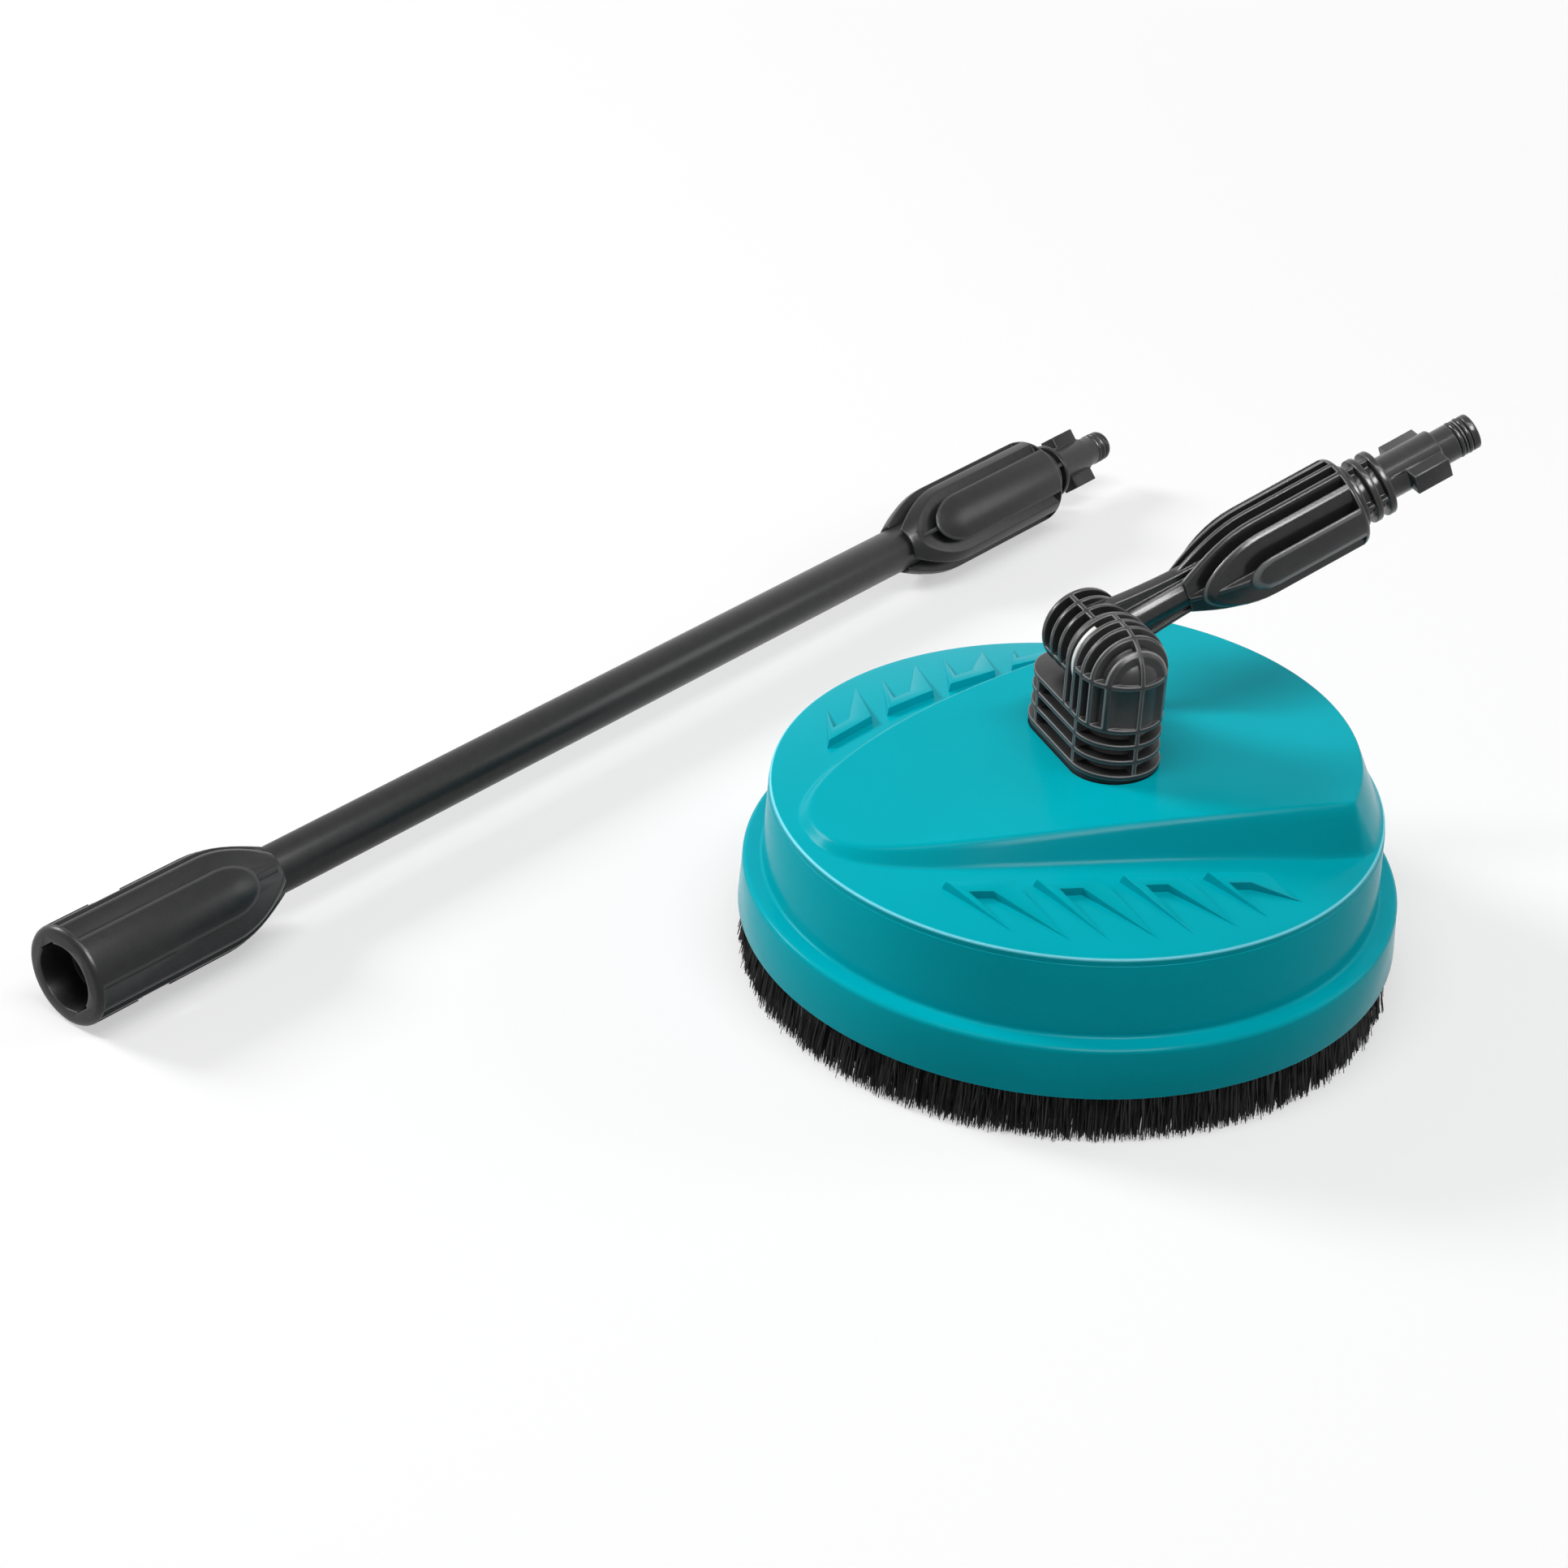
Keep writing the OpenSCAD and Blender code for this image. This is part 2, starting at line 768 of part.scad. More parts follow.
// Knuckle: a drawn-in core with disc ribs, and plates along and across the handle
module knuckle() {
  low = handle_x - knuckle_l / 2;
  pitch = (knuckle_l - rib_t) / 3;
  translate([low, 0, 0])
    rotate([0, 90, 0])
      cylinder(r = knuckle_r - rib_depth, h = knuckle_l);
  for (i = [0:3])
    translate([low + i * pitch, 0, 0])
      rotate([0, 90, 0])
        cylinder(r = knuckle_r, h = rib_t);
  intersection() {
    translate([low, 0, 0])
      rotate([0, 90, 0])
        cylinder(r = knuckle_r, h = knuckle_l);
    union() {
      translate([low, -2 * knuckle_r, -rib_t / 2])
        cube([knuckle_l, 4 * knuckle_r, rib_t]);
      translate([low, -rib_t / 2, -2 * knuckle_r])
        cube([knuckle_l, rib_t, 4 * knuckle_r]);
    }
  }
}

// Upper edge of the shank's web, hollowed from the knuckle to the neck of the grip, at a depth below that edge
function web_edge(l, depth) =
  [for (i = [0:web_steps]) let (t = i / web_steps)
    [l * t, neck_r + (web_h - neck_r) * pow(1 - t, 2) - depth]];
function reversed(list) = [for (i = [len(list) - 1:-1:0]) list[i]];

// Shank: a round rod with a web above and below, and a lip along each edge of the web
module shank() {
  l = shank_l + ogive_l / 3;
  along_y()
    cylinder(r = rod_r, h = l);
  for (s = [0, 1])
    mirror([0, 0, s]) {
      translate([-web_t / 2, 0, 0])
        rotate([90, 0, 90])
          linear_extrude(web_t)
            polygon(concat([[0, 0]], web_edge(l, 0), [[l, 0]]));
      translate([-lip_w / 2, 0, 0])
        rotate([90, 0, 90])
          linear_extrude(lip_w)
            polygon(concat(web_edge(l, 0), reversed(web_edge(l, lip_t))));
    }
}

// Ribbed grip: a core, a level web, plates that follow the bullet's outside, a smooth panel on each side
// and an end plate
module ribbed_grip(neck, r, l, groove, panel_in, plates, plate_t, side) {
  bullet(neck, r, l, groove);
  intersection() {
    bullet(neck, r, l, ridge_in);
    rotate([0, side, 0])
      translate([-r, 0, -rib_t / 2])
        cube([2 * r, l, rib_t]);
  }
  intersection() {
    bullet(neck, r, l, 0);
    rotate([0, side, 0])
      union() {
        for (s = [0, 1])
          mirror([s, 0, 0]) {
            for (x = plates)
              translate([x - plate_t / 2, 0, -2 * r])
                cube([plate_t, l, 4 * r]);
            translate([r - panel_in, 0, -2 * r])
              cube([r, l, 4 * r]);
          }
        translate([-r, l - grip_end_t, -2 * r])
          cube([2 * r, grip_end_t, 4 * r]);
      }
  }
}

module handle_body() {
  color(black)
    at_pivot()
      difference() {
        union() {
          knuckle();
          translate([handle_x, 0, 0]) {
            shank();
            translate([0, shank_l, 0])
              ribbed_grip(neck_r, grip_r, grip_l, grip_groove, grip_panel_in, grip_plates, rib_t, 0);
          }
        }
        translate([pin_low_x - seat_gap, 0, 0])
          rotate([0, 90, 0])
            cylinder(r = pin_r + seat_gap, h = pin_inner_l + sink);
        translate([handle_x, 0, 0])
          along_y()
            cylinder(r = bore_r, h = grip_end + sink);
        translate([handle_x, grip_end - plug_l - seat_gap, 0])
          along_y()
            cylinder(r = plug_r + seat_gap, h = plug_l + sink);
      }
}

module pivot_pin() {
  color(black)
    at_pivot()
      difference() {
        translate([pin_low_x, 0, 0])
          rotate([0, 90, 0])
            cylinder(r = pin_r, h = pin_high_x - pin_low_x);
        translate([handle_x - bore_r, 0, 0])
          rotate([0, 90, 0])
            cylinder(r = bore_r, h = pin_high_x - handle_x + bore_r + sink);
        translate([handle_x, 0, 0])
          along_y()
            cylinder(r = bore_r, h = pin_r + sink);
        translate([clip_x - clip_gap, 0, 0])
          rotate([0, 90, 0])
            difference() {
              cylinder(r = pin_r + sink, h = clip_t + 2 * clip_gap);
              translate([0, 0, -sink])
                cylinder(r = pin_r - groove_depth, h = clip_t + 2 * clip_gap + 2 * sink);
            }
        for (x = pin_ring_x)
          translate([x, 0, 0])
            rotate([0, 0, -90])
              o_groove(pin_r, o_ring_r);
      }
}

module pivot_o_rings() {
  color(rubber_black)
    at_pivot()
      for (x = pin_ring_x)
        translate([x, 0, 0])
          rotate([0, 0, -90])
            o_ring(pin_r, o_ring_r);
}

// Bayonet spigot along y from the end of a grip: plug, collars, body with two lugs, and a sealed tip
module spigot() {
  pitch = (collar_zone - collar_t) / (collar_count - 1);
  difference() {
    union() {
      translate([0, -plug_l, 0])
        along_y()
          cylinder(r = plug_r, h = plug_l + sink);
      along_y()
        cylinder(r = collar_core_r, h = collar_zone);
      for (i = [0:collar_count - 1])
        translate([0, i * pitch, 0])
          along_y()
            cylinder(r = collar_r, h = collar_t);
      for (a = [0, 90])
        rotate([0, a, 0])
          translate([-collar_web_r, 0, -rib_t / 2])
            cube([2 * collar_web_r, collar_zone, rib_t]);
      along_y()
        cylinder(r = bayonet_r, h = body_end);
      translate([-lug_span / 2, lug_y, -lug_w / 2])
        cube([lug_span, lug_l, lug_w]);
      along_y()
        cylinder(r = tip_r, h = spigot_l);
    }
    translate([0, -plug_l - sink, 0])
      along_y()
        cylinder(r = bore_r, h = spigot_l + plug_l + 2 * sink);
    for (d = tip_ring_d)
      translate([0, spigot_l - d, 0])
        o_groove(tip_r + tip_ring_proud, o_ring_r);
  }
}

module tip_o_rings() {
  for (d = tip_ring_d)
    translate([0, spigot_l - d, 0])
      o_ring(tip_r + tip_ring_proud, o_ring_r);
}

module handle_spigot() {
  color(black)
    at_pivot()
      translate([handle_x, grip_end, 0])
        spigot();
}

module handle_o_rings() {
  color(rubber_black)
    at_pivot()
      translate([handle_x, grip_end, 0])
        tip_o_rings();
}

module rotor_hub() {
  color(black)
    difference() {
      union() {
        translate([0, 0, hub_low])
          cylinder(r = hub_r, h = hub_top - hub_low);
        translate([0, 0, hub_low])
          cylinder(r = shaft_r, h = bush_top + nut_gap - hub_low);
        translate([0, 0, hub_low])
          cylinder(r = stub_r, h = bush_top + nut_gap + nut_h - hub_low);
      }
      translate([0, 0, arm_z])
        cylinder(r = passage_r, h = chamber_top - arm_z);
      translate([0, -hub_r - sink, arm_z])
        along_y()
          cylinder(r = arm_tube_r + seat_gap, h = 2 * (hub_r + sink));
    }
}

module rotor_nut() {
  color(steel)
    translate([0, 0, bush_top + nut_gap])
      difference() {
        cylinder(r = nut_r, h = nut_h, $fn = 6);
        translate([0, 0, -sink])
          cylinder(r = stub_r + seat_gap, h = nut_h + 2 * sink);
      }
}

module spray_arm() {
  l = arm_r - nozzle_r + nozzle_seat;
  color(steel)
    difference() {
      translate([0, -l, arm_z])
        along_y()
          cylinder(r = arm_tube_r, h = 2 * l);
      translate([0, -l - sink, arm_z])
        along_y()
          cylinder(r = arm_bore_r, h = 2 * (l + sink));
      translate([0, 0, arm_z])
        cylinder(r = passage_r, h = arm_tube_r + sink);
    }
}

// Nozzle body at one end of the spray arm, with a seat for the tube and one for the insert
module nozzle(s) {
  color(black)
    difference() {
      translate([0, s * arm_r, nozzle_low])
        cylinder(r = nozzle_r, h = nozzle_top - nozzle_low);
      translate([0, s * (arm_r - nozzle_r + nozzle_seat), arm_z])
        rotate([s * 90, 0, 0])
          cylinder(r = arm_tube_r + seat_gap, h = nozzle_r);
      translate([0, s * (arm_r - nozzle_r), arm_z])
        rotate([s * -90, 0, 0])
          cylinder(r = arm_bore_r, h = nozzle_r);
      translate([0, s * arm_r, nozzle_low - sink])
        cylinder(r = insert_r + seat_gap, h = insert_bite + sink);
      translate([0, s * arm_r, nozzle_low])
        cylinder(r = arm_bore_r / 2, h = arm_z - nozzle_low);
    }
}

module nozzle_front() {
  nozzle(-1);
}

module nozzle_rear() {
  nozzle(1);
}

module nozzle_inserts() {
  color(steel)
    for (s = [-1, 1])
      translate([0, s * arm_r, nozzle_low + insert_bite - insert_l])
        difference() {
          cylinder(r = insert_r, h = insert_l);
          translate([0, 0, -sink])
            cylinder(r = jet_r, h = insert_l + 2 * sink);
        }
}

// Place of the lance: its axis along y from the mouth of the socket, then rolled and turned on the floor
module at_lance() {
  translate([lance_mouth[0], lance_mouth[1], lance_z])
    rotate([0, lance_roll, lance_turn])
      children();
}

module lance_tube() {
  y0 = socket_l - tube_bite;
  color(black)
    at_lance()
      translate([0, y0, 0])
        along_y()
          difference() {
            cylinder(r = lance_tube_r, h = lance_grip_y + tube_bite - y0);
            translate([0, 0, -sink])
              cylinder(r = lance_bore_r, h = lance_grip_y + tube_bite - y0 + 2 * sink);
          }
}

module lance_grip() {
  color(black)
    at_lance()
      translate([0, lance_grip_y, 0])
        difference() {
          ribbed_grip(
            lance_neck_r, lance_body_r, lance_grip_l, lance_groove,
            lance_panel_in, lance_plates, lance_plate_t, 90
          );
          translate([0, -sink, 0])
            along_y()
              cylinder(r = lance_tube_r + seat_gap, h = tube_bite + sink);
          along_y()
            cylinder(r = bore_r, h = lance_grip_l + sink);
          translate([0, lance_grip_l - plug_l - seat_gap, 0])
            along_y()
              cylinder(r = plug_r + seat_gap, h = plug_l + sink);
        }
}

// Socket that takes the handle's spigot: ribbed outside, stepped bore, lug ways and locking windows
module lance_socket() {
  lug_end = lug_y + lug_l + lug_clear;
  color(black)
    at_lance()
      difference() {
        union() {
          translate([0, socket_l, 0])
            rotate([0, 0, 180])
              ribbed_grip(
                lance_neck_r, lance_body_r, socket_l, lance_groove,
                socket_panel_in, socket_plates, rib_t, 90
              );
          along_y()
            cylinder(r = socket_core_r, h = lug_end + socket_wall);
        }
        translate([0, -sink, 0])
          along_y()
            cylinder(r = socket_collar_r, h = collar_zone + sink);
        along_y()
          cylinder(r = socket_body_r, h = body_end);
        along_y()
          cylinder(r = socket_tip_r, h = spigot_l + sink);
        translate([0, spigot_l, 0])
          along_y()
            cylinder(r = seal_r, h = seal_t);
        translate([0, spigot_l, 0])
          along_y()
            cylinder(r = bore_r, h = socket_l);
        translate([0, socket_l - tube_bite - seat_gap, 0])
          along_y()
            cylinder(r = lance_tube_r + seat_gap, h = tube_bite + sink);
        translate([-lug_span / 2 - lug_clear, 0, -lug_w / 2 - lug_clear])
          cube([lug_span + 2 * lug_clear, lug_end, lug_w + 2 * lug_clear]);
        translate([-lance_body_r - sink, lug_y - lug_clear, -lug_w / 2 - window_clear])
          cube([2 * (lance_body_r + sink), lug_l + 2 * lug_clear, lug_w + 2 * window_clear]);
      }
}

module lance_socket_seal() {
  color(rubber_black)
    at_lance()
      translate([0, spigot_l, 0])
        along_y()
          difference() {
            cylinder(r = seal_r - seat_gap, h = seal_t);
            translate([0, 0, -sink])
              cylinder(r = bore_r, h = seal_t + 2 * sink);
          }
}

module lance_spigot() {
  color(black)
    at_lance()
      translate([0, lance_l - spigot_l, 0])
        spigot();
}

module lance_o_rings() {
  color(rubber_black)
    at_lance()
      translate([0, lance_l - spigot_l, 0])
        tip_o_rings();
}

deck_shell();
brush_ring();
brush_ring_screws();
brush_segment(0);  // brush_segment_1
brush_segment(1);  // brush_segment_2
brush_segment(2);  // brush_segment_3
brush_segment(3);  // brush_segment_4
brush_segment(4);  // brush_segment_5
brush_segment(5);  // brush_segment_6
brush_segment(6);  // brush_segment_7
brush_segment(7);  // brush_segment_8
pivot_tower();
tower_screws();
pivot_clip();
swivel_bush();
swivel_seal();
handle_body();
pivot_pin();
pivot_o_rings();
handle_spigot();
handle_o_rings();
rotor_hub();
rotor_nut();
spray_arm();
nozzle_front();
nozzle_rear();
nozzle_inserts();
lance_tube();
lance_grip();
lance_socket();
lance_socket_seal();
lance_spigot();
lance_o_rings();
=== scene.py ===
"""Looks of the surface cleaner: deck on a ring of bristles, ribbed black mouldings and a loose lance."""
import json
import logging
import math
import random
from collections.abc import Callable
from dataclasses import dataclass, field, replace
from enum import Enum

import bmesh
import bpy
import numpy as np
from mathutils import Matrix, Vector, noise


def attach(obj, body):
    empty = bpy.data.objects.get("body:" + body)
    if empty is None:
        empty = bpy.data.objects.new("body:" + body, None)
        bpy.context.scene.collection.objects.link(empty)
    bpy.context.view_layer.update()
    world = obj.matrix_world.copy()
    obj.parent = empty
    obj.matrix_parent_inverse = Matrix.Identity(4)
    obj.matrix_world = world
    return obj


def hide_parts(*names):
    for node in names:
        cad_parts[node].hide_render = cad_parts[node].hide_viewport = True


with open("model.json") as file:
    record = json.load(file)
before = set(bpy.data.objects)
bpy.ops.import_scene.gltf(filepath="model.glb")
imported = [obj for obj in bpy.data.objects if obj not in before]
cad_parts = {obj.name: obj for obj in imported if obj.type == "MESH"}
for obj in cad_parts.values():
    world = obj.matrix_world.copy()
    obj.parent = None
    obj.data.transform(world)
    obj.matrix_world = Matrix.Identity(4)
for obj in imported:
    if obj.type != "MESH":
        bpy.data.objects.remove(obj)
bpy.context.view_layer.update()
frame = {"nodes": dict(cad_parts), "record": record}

LOG = logging.getLogger("surface_cleaner")
MM = 0.001
TINY = 1e-6
# Mesh attribute that marks where the rim's painted highlight lies.
RIM_HIGHLIGHT = "rim_highlight"
MOTTLE_DETAIL = 3.0
GRAIN_DETAIL = 2.0
NOISE_MIDDLE = (0.3, 0.7)
BUMP_STRENGTH = 0.35
BEVEL_SAMPLES = 6
# Rays and range of the mask for the painted highlight along standing edges.
EDGE_SAMPLES = 8
EDGE_OPENNESS = (0.95, 0.55)
Colour = tuple[float, float, float]
Point = tuple[float, float]
Socket = bpy.types.NodeSocket
Link = Callable[[Socket, Socket], bpy.types.NodeLink]


class Side(Enum):
    """The two sides of the deck."""

    LEFT = -1
    RIGHT = 1


class Skin(Enum):
    """Where a point of the deck's section lies: on the top, on the inside of the top or elsewhere."""

    ELSEWHERE = 0
    TOP = 1
    INSIDE = 2


class Grain(Enum):
    """How the fine grain of a finish runs: evenly, or drawn out along an axis."""

    EVEN = (1.0, 1.0, 1.0)
    ALONG_Y = (1.0, 0.04, 1.0)
    ALONG_Z = (1.0, 1.0, 0.05)


def smooth_max(a: np.ndarray, b: np.ndarray, width: np.ndarray | float) -> np.ndarray:
    """The larger of two heights, with a fillet where they meet.

    Args:
        a: The first heights.
        b: The second heights.
        width: Difference in height below which the two blend.

    Returns:
        The blended heights.
    """
    near = np.maximum(width - np.abs(a - b), 0.0) / width
    return np.maximum(a, b) + near * near * width / 4


def smooth_min(a: np.ndarray, b: np.ndarray, width: np.ndarray | float) -> np.ndarray:
    """The smaller of two heights, with a round where they meet.

    Args:
        a: The first heights.
        b: The second heights.
        width: Difference in height below which the two blend.

    Returns:
        The blended heights.
    """
    return -smooth_max(-a, -b, width)


def arc_points(centre: Point, radius: float, start: float, end: float, count: int) -> list[Point]:
    """Points along an arc in the plane of radius and height.

    Args:
        centre: Radius and height of the arc's centre.
        radius: Radius of the arc.
        start: First angle in degrees from outwards.
        end: Last angle in degrees.
        count: Number of steps.

    Returns:
        The points as pairs of radius and height.
    """
    angles = [math.radians(start + (end - start) * i / count) for i in range(count + 1)]
    return [(centre[0] + radius * math.cos(a), centre[1] + radius * math.sin(a)) for a in angles]


@dataclass(frozen=True)
class Finish:
    """A procedural finish: two close tones, an uneven gloss and a fine grain, all read in object space, with
    painted highlights, paler colour, on standing edges and on marked lines where asked.
    """

    name: str
    slot: str
    colour: Colour
    tone: Colour
    mottle: float
    gloss: tuple[float, float]
    grain: float
    relief: float
    specular: float = 0.5
    metallic: float = 0.0
    run: Grain = Grain.EVEN
    # edge sets the radius of the rounded shading and the reach of the painted highlight along standing edges;
    # the tone after it is that painted highlight's colour.
    edge: float = 0.0
    edge_highlight_tone: Colour = (0.0, 0.0, 0.0)
    # A painted highlight: the paler colour laid where the mesh marks a line.
    line_highlight_tone: Colour | None = None

    def material(self) -> bpy.types.Material:
        """Makes the material once, and hands out the same one afterwards.

        Returns:
            The node material.
        """
        found = bpy.data.materials.get(self.name)
        if found is not None:
            return found
        material = bpy.data.materials.new(self.name)
        material.use_nodes = True
        nodes = material.node_tree.nodes
        link = material.node_tree.links.new
        shader = nodes["Principled BSDF"]
        shader.inputs["Metallic"].default_value = self.metallic
        shader.inputs["Specular IOR Level"].default_value = self.specular
        place = nodes.new("ShaderNodeTexCoord")
        turn = nodes.new("ShaderNodeMapping")
        turn.inputs["Scale"].default_value = self.run.value
        link(place.outputs["Object"], turn.inputs["Vector"])
        cloud = self._noise(nodes, self.mottle, MOTTLE_DETAIL)
        link(turn.outputs["Vector"], cloud.inputs["Vector"])
        blend = self._blend(nodes, link, self._spread(nodes, link, cloud, (0.0, 1.0)), self.tone)
        blend.inputs["A"].default_value = (*self.colour, 1.0)
        colour = blend.outputs["Result"]
        grit = self._noise(nodes, self.grain, GRAIN_DETAIL)
        link(turn.outputs["Vector"], grit.inputs["Vector"])
        link(self._spread(nodes, link, grit, self.gloss), shader.inputs["Roughness"])
        bump = nodes.new("ShaderNodeBump")
        bump.inputs["Strength"].default_value = BUMP_STRENGTH
        bump.inputs["Distance"].default_value = self.relief
        link(grit.outputs["Fac"], bump.inputs["Height"])
        link(bump.outputs["Normal"], shader.inputs["Normal"])
        # Rounded shading of edges, and a painted highlight: paler colour along the edges that stand out.
        if self.edge:
            rounded = nodes.new("ShaderNodeBevel")
            rounded.samples = BEVEL_SAMPLES
            rounded.inputs["Radius"].default_value = self.edge
            link(rounded.outputs["Normal"], bump.inputs["Normal"])
            pale = self._blend(nodes, link, self._edge_highlight_share(nodes, link), self.edge_highlight_tone)
            link(colour, pale.inputs["A"])
            colour = pale.outputs["Result"]
        # A painted highlight: paler colour where the mesh marks a line, such as the deck's rim.
        if self.line_highlight_tone is not None:
            marked = nodes.new("ShaderNodeAttribute")
            marked.attribute_name = RIM_HIGHLIGHT
            pale = self._blend(nodes, link, marked.outputs["Fac"], self.line_highlight_tone)
            link(colour, pale.inputs["A"])
            colour = pale.outputs["Result"]
        link(colour, shader.inputs["Base Color"])
        return material

    def _edge_highlight_share(self, nodes: bpy.types.Nodes, link: Link) -> Socket:
        """Finds the edges that stand out, by how soon rays inside the piece meet its skin, to paint a highlight
        along them.

        Args:
            nodes: Nodes of the material.
            link: Function that links two sockets.

        Returns:
            The socket with the painted highlight's share: 0 on faces and up to 1 on edges.
        """
        inward = nodes.new("ShaderNodeAmbientOcclusion")
        inward.inside = True
        inward.only_local = True
        inward.samples = EDGE_SAMPLES
        inward.inputs["Distance"].default_value = self.edge
        near = nodes.new("ShaderNodeMapRange")
        near.inputs["From Min"].default_value, near.inputs["From Max"].default_value = EDGE_OPENNESS
        link(inward.outputs["AO"], near.inputs["Value"])
        return near.outputs["Result"]

    @staticmethod
    def _blend(nodes: bpy.types.Nodes, link: Link, share: Socket, tone: Colour) -> bpy.types.Node:
        """A mix that turns a colour into a tone.

        Args:
            nodes: Nodes of the material.
            link: Function that links two sockets.
            share: Socket with the tone's share.
            tone: The tone.

        Returns:
            The mix, whose first colour is still to be given.
        """
        blend = nodes.new("ShaderNodeMix")
        blend.data_type = "RGBA"
        blend.inputs["B"].default_value = (*tone, 1.0)
        link(share, blend.inputs["Factor"])
        return blend

    @staticmethod
    def _noise(nodes: bpy.types.Nodes, size: float, detail: float) -> bpy.types.Node:
        """A noise texture.

        Args:
            nodes: Nodes of the material.
            size: Size of its features in metres.
            detail: How many finer layers it has.

        Returns:
            The texture.
        """
        texture = nodes.new("ShaderNodeTexNoise")
        texture.inputs["Scale"].default_value = 1.0 / size
        texture.inputs["Detail"].default_value = detail
        return texture

    @staticmethod
    def _spread(nodes: bpy.types.Nodes, link: Link, texture: bpy.types.Node, to: tuple[float, float]) -> Socket:
        """Spreads the middle of a noise over a range.

        Args:
            nodes: Nodes of the material.
            link: Function that links two sockets.
            texture: The noise texture.
            to: Lowest and highest value wanted.

        Returns:
            The socket with the spread value.
        """
        spread = nodes.new("ShaderNodeMapRange")
        spread.inputs["From Min"].default_value, spread.inputs["From Max"].default_value = NOISE_MIDDLE
        spread.inputs["To Min"].default_value, spread.inputs["To Max"].default_value = to
        link(texture.outputs["Fac"], spread.inputs["Value"])
        return spread.outputs["Result"]

    def dress(self, piece: bpy.types.Object) -> None:
        """Gives a piece this finish alone."""
        piece.data.materials.clear()
        piece.data.materials.append(self.material())


# The teal's line tone is a painted highlight: paler teal along the rim's round.
TEAL = Finish(
    "teal_shell", "deck", colour=(0.0, 0.415, 0.495), tone=(0.0, 0.4, 0.477), mottle=0.03, gloss=(0.17, 0.22),
    grain=0.0009, relief=0.000005, specular=0.03, line_highlight_tone=(0.22, 0.78, 0.92),
)
# The edge tones of these blacks are painted highlights: paler grey along the standing rib edges.
BLACK = Finish(
    "black_moulding", "moulding", colour=(0.026, 0.025, 0.025), tone=(0.034, 0.033, 0.033), mottle=0.006,
    gloss=(0.34, 0.44), grain=0.0006, relief=0.00003, specular=0.34, edge=0.0009, edge_highlight_tone=(0.26, 0.26, 0.262),
)
HANDLE_BLACK = replace(BLACK, name="handle_moulding", gloss=(0.2, 0.27), edge_highlight_tone=(0.2, 0.2, 0.202))
# A darker copy of the black: painted shade, so that the lance's mouldings render darker than the others under
# the same lamps.
LANCE_BLACK = replace(
    BLACK, name="lance_moulding", colour=(0.015, 0.015, 0.0155), tone=(0.021, 0.021, 0.0215),
    gloss=(0.27, 0.36), specular=0.25, edge_highlight_tone=(0.055, 0.055, 0.056),
)
NYLON = Finish(
    "bristle_nylon", "bristle", colour=(0.005, 0.005, 0.005), tone=(0.032, 0.032, 0.032), mottle=0.0011,
    gloss=(0.4, 0.6), grain=0.0012, relief=0.00002, specular=0.3, run=Grain.ALONG_Z,
)
RUBBER = Finish(
    "seal_rubber", "seal", colour=(0.006, 0.006, 0.006), tone=(0.01, 0.01, 0.01), mottle=0.004,
    gloss=(0.2, 0.32), grain=0.0008, relief=0.00001,
)
WHITE = Finish(
    "clip_nylon", "clip", colour=(0.8, 0.8, 0.78), tone=(0.74, 0.74, 0.72), mottle=0.008,
    gloss=(0.4, 0.5), grain=0.0007, relief=0.00002,
)
STEEL = Finish(
    "turned_steel", "steel", colour=(0.6, 0.6, 0.61), tone=(0.52, 0.52, 0.53), mottle=0.004,
    gloss=(0.22, 0.4), grain=0.0004, relief=0.00001, metallic=1.0, run=Grain.ALONG_Y,
)
BRONZE = Finish(
    "sintered_bronze", "bush", colour=(0.55, 0.36, 0.14), tone=(0.46, 0.29, 0.11), mottle=0.002,
    gloss=(0.35, 0.5), grain=0.0005, relief=0.00003, metallic=1.0,
)
FINISHES = (TEAL, BLACK, NYLON, RUBBER, WHITE, STEEL, BRONZE)


def new_piece(name: str, shape: bmesh.types.BMesh, finish: Finish, body: str, nodes: tuple[str, ...] = (),
              sharp: float = 35.0) -> bpy.types.Object:
    """Turns a shape in metres into a dressed piece that rides on a body.

    Args:
        name: Name of the piece.
        shape: The shape, which is freed.
        finish: Its finish.
        body: Body that it moves with.
        nodes: Solids that it stands for.
        sharp: Angle in degrees above which an edge stays sharp.

    Returns:
        The new object.
    """
    mesh = bpy.data.meshes.new(name)
    shape.to_mesh(mesh)
    shape.free()
    mesh.polygons.foreach_set("use_smooth", [True] * len(mesh.polygons))
    mesh.set_sharp_from_angle(angle=math.radians(sharp))
    piece = bpy.data.objects.new(name, mesh)
    bpy.context.scene.collection.objects.link(piece)
    finish.dress(piece)
    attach(piece, body)
    if nodes:
        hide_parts(*nodes)
    LOG.info("%s: %d faces on %s", name, len(mesh.polygons), body)
    return piece


def to_metres(shape: bmesh.types.BMesh) -> None:
    """Brings a shape that was drawn in millimetres to metres."""
    bmesh.ops.scale(shape, vec=(MM, MM, MM), verts=shape.verts)


def round_edges(shape: bmesh.types.BMesh, edges: list[bmesh.types.BMEdge], size: float) -> None:
    """Rounds edges of a shape.

    Args:
        shape: The shape.
        edges: Its edges to round.
        size: Distance from the edge at which the round begins.
    """
    bmesh.ops.bevel(
        shape, geom=edges, offset=size, offset_type="OFFSET", affect="EDGES", segments=2, profile=0.5,
        material=-1, clamp_overlap=True
    )


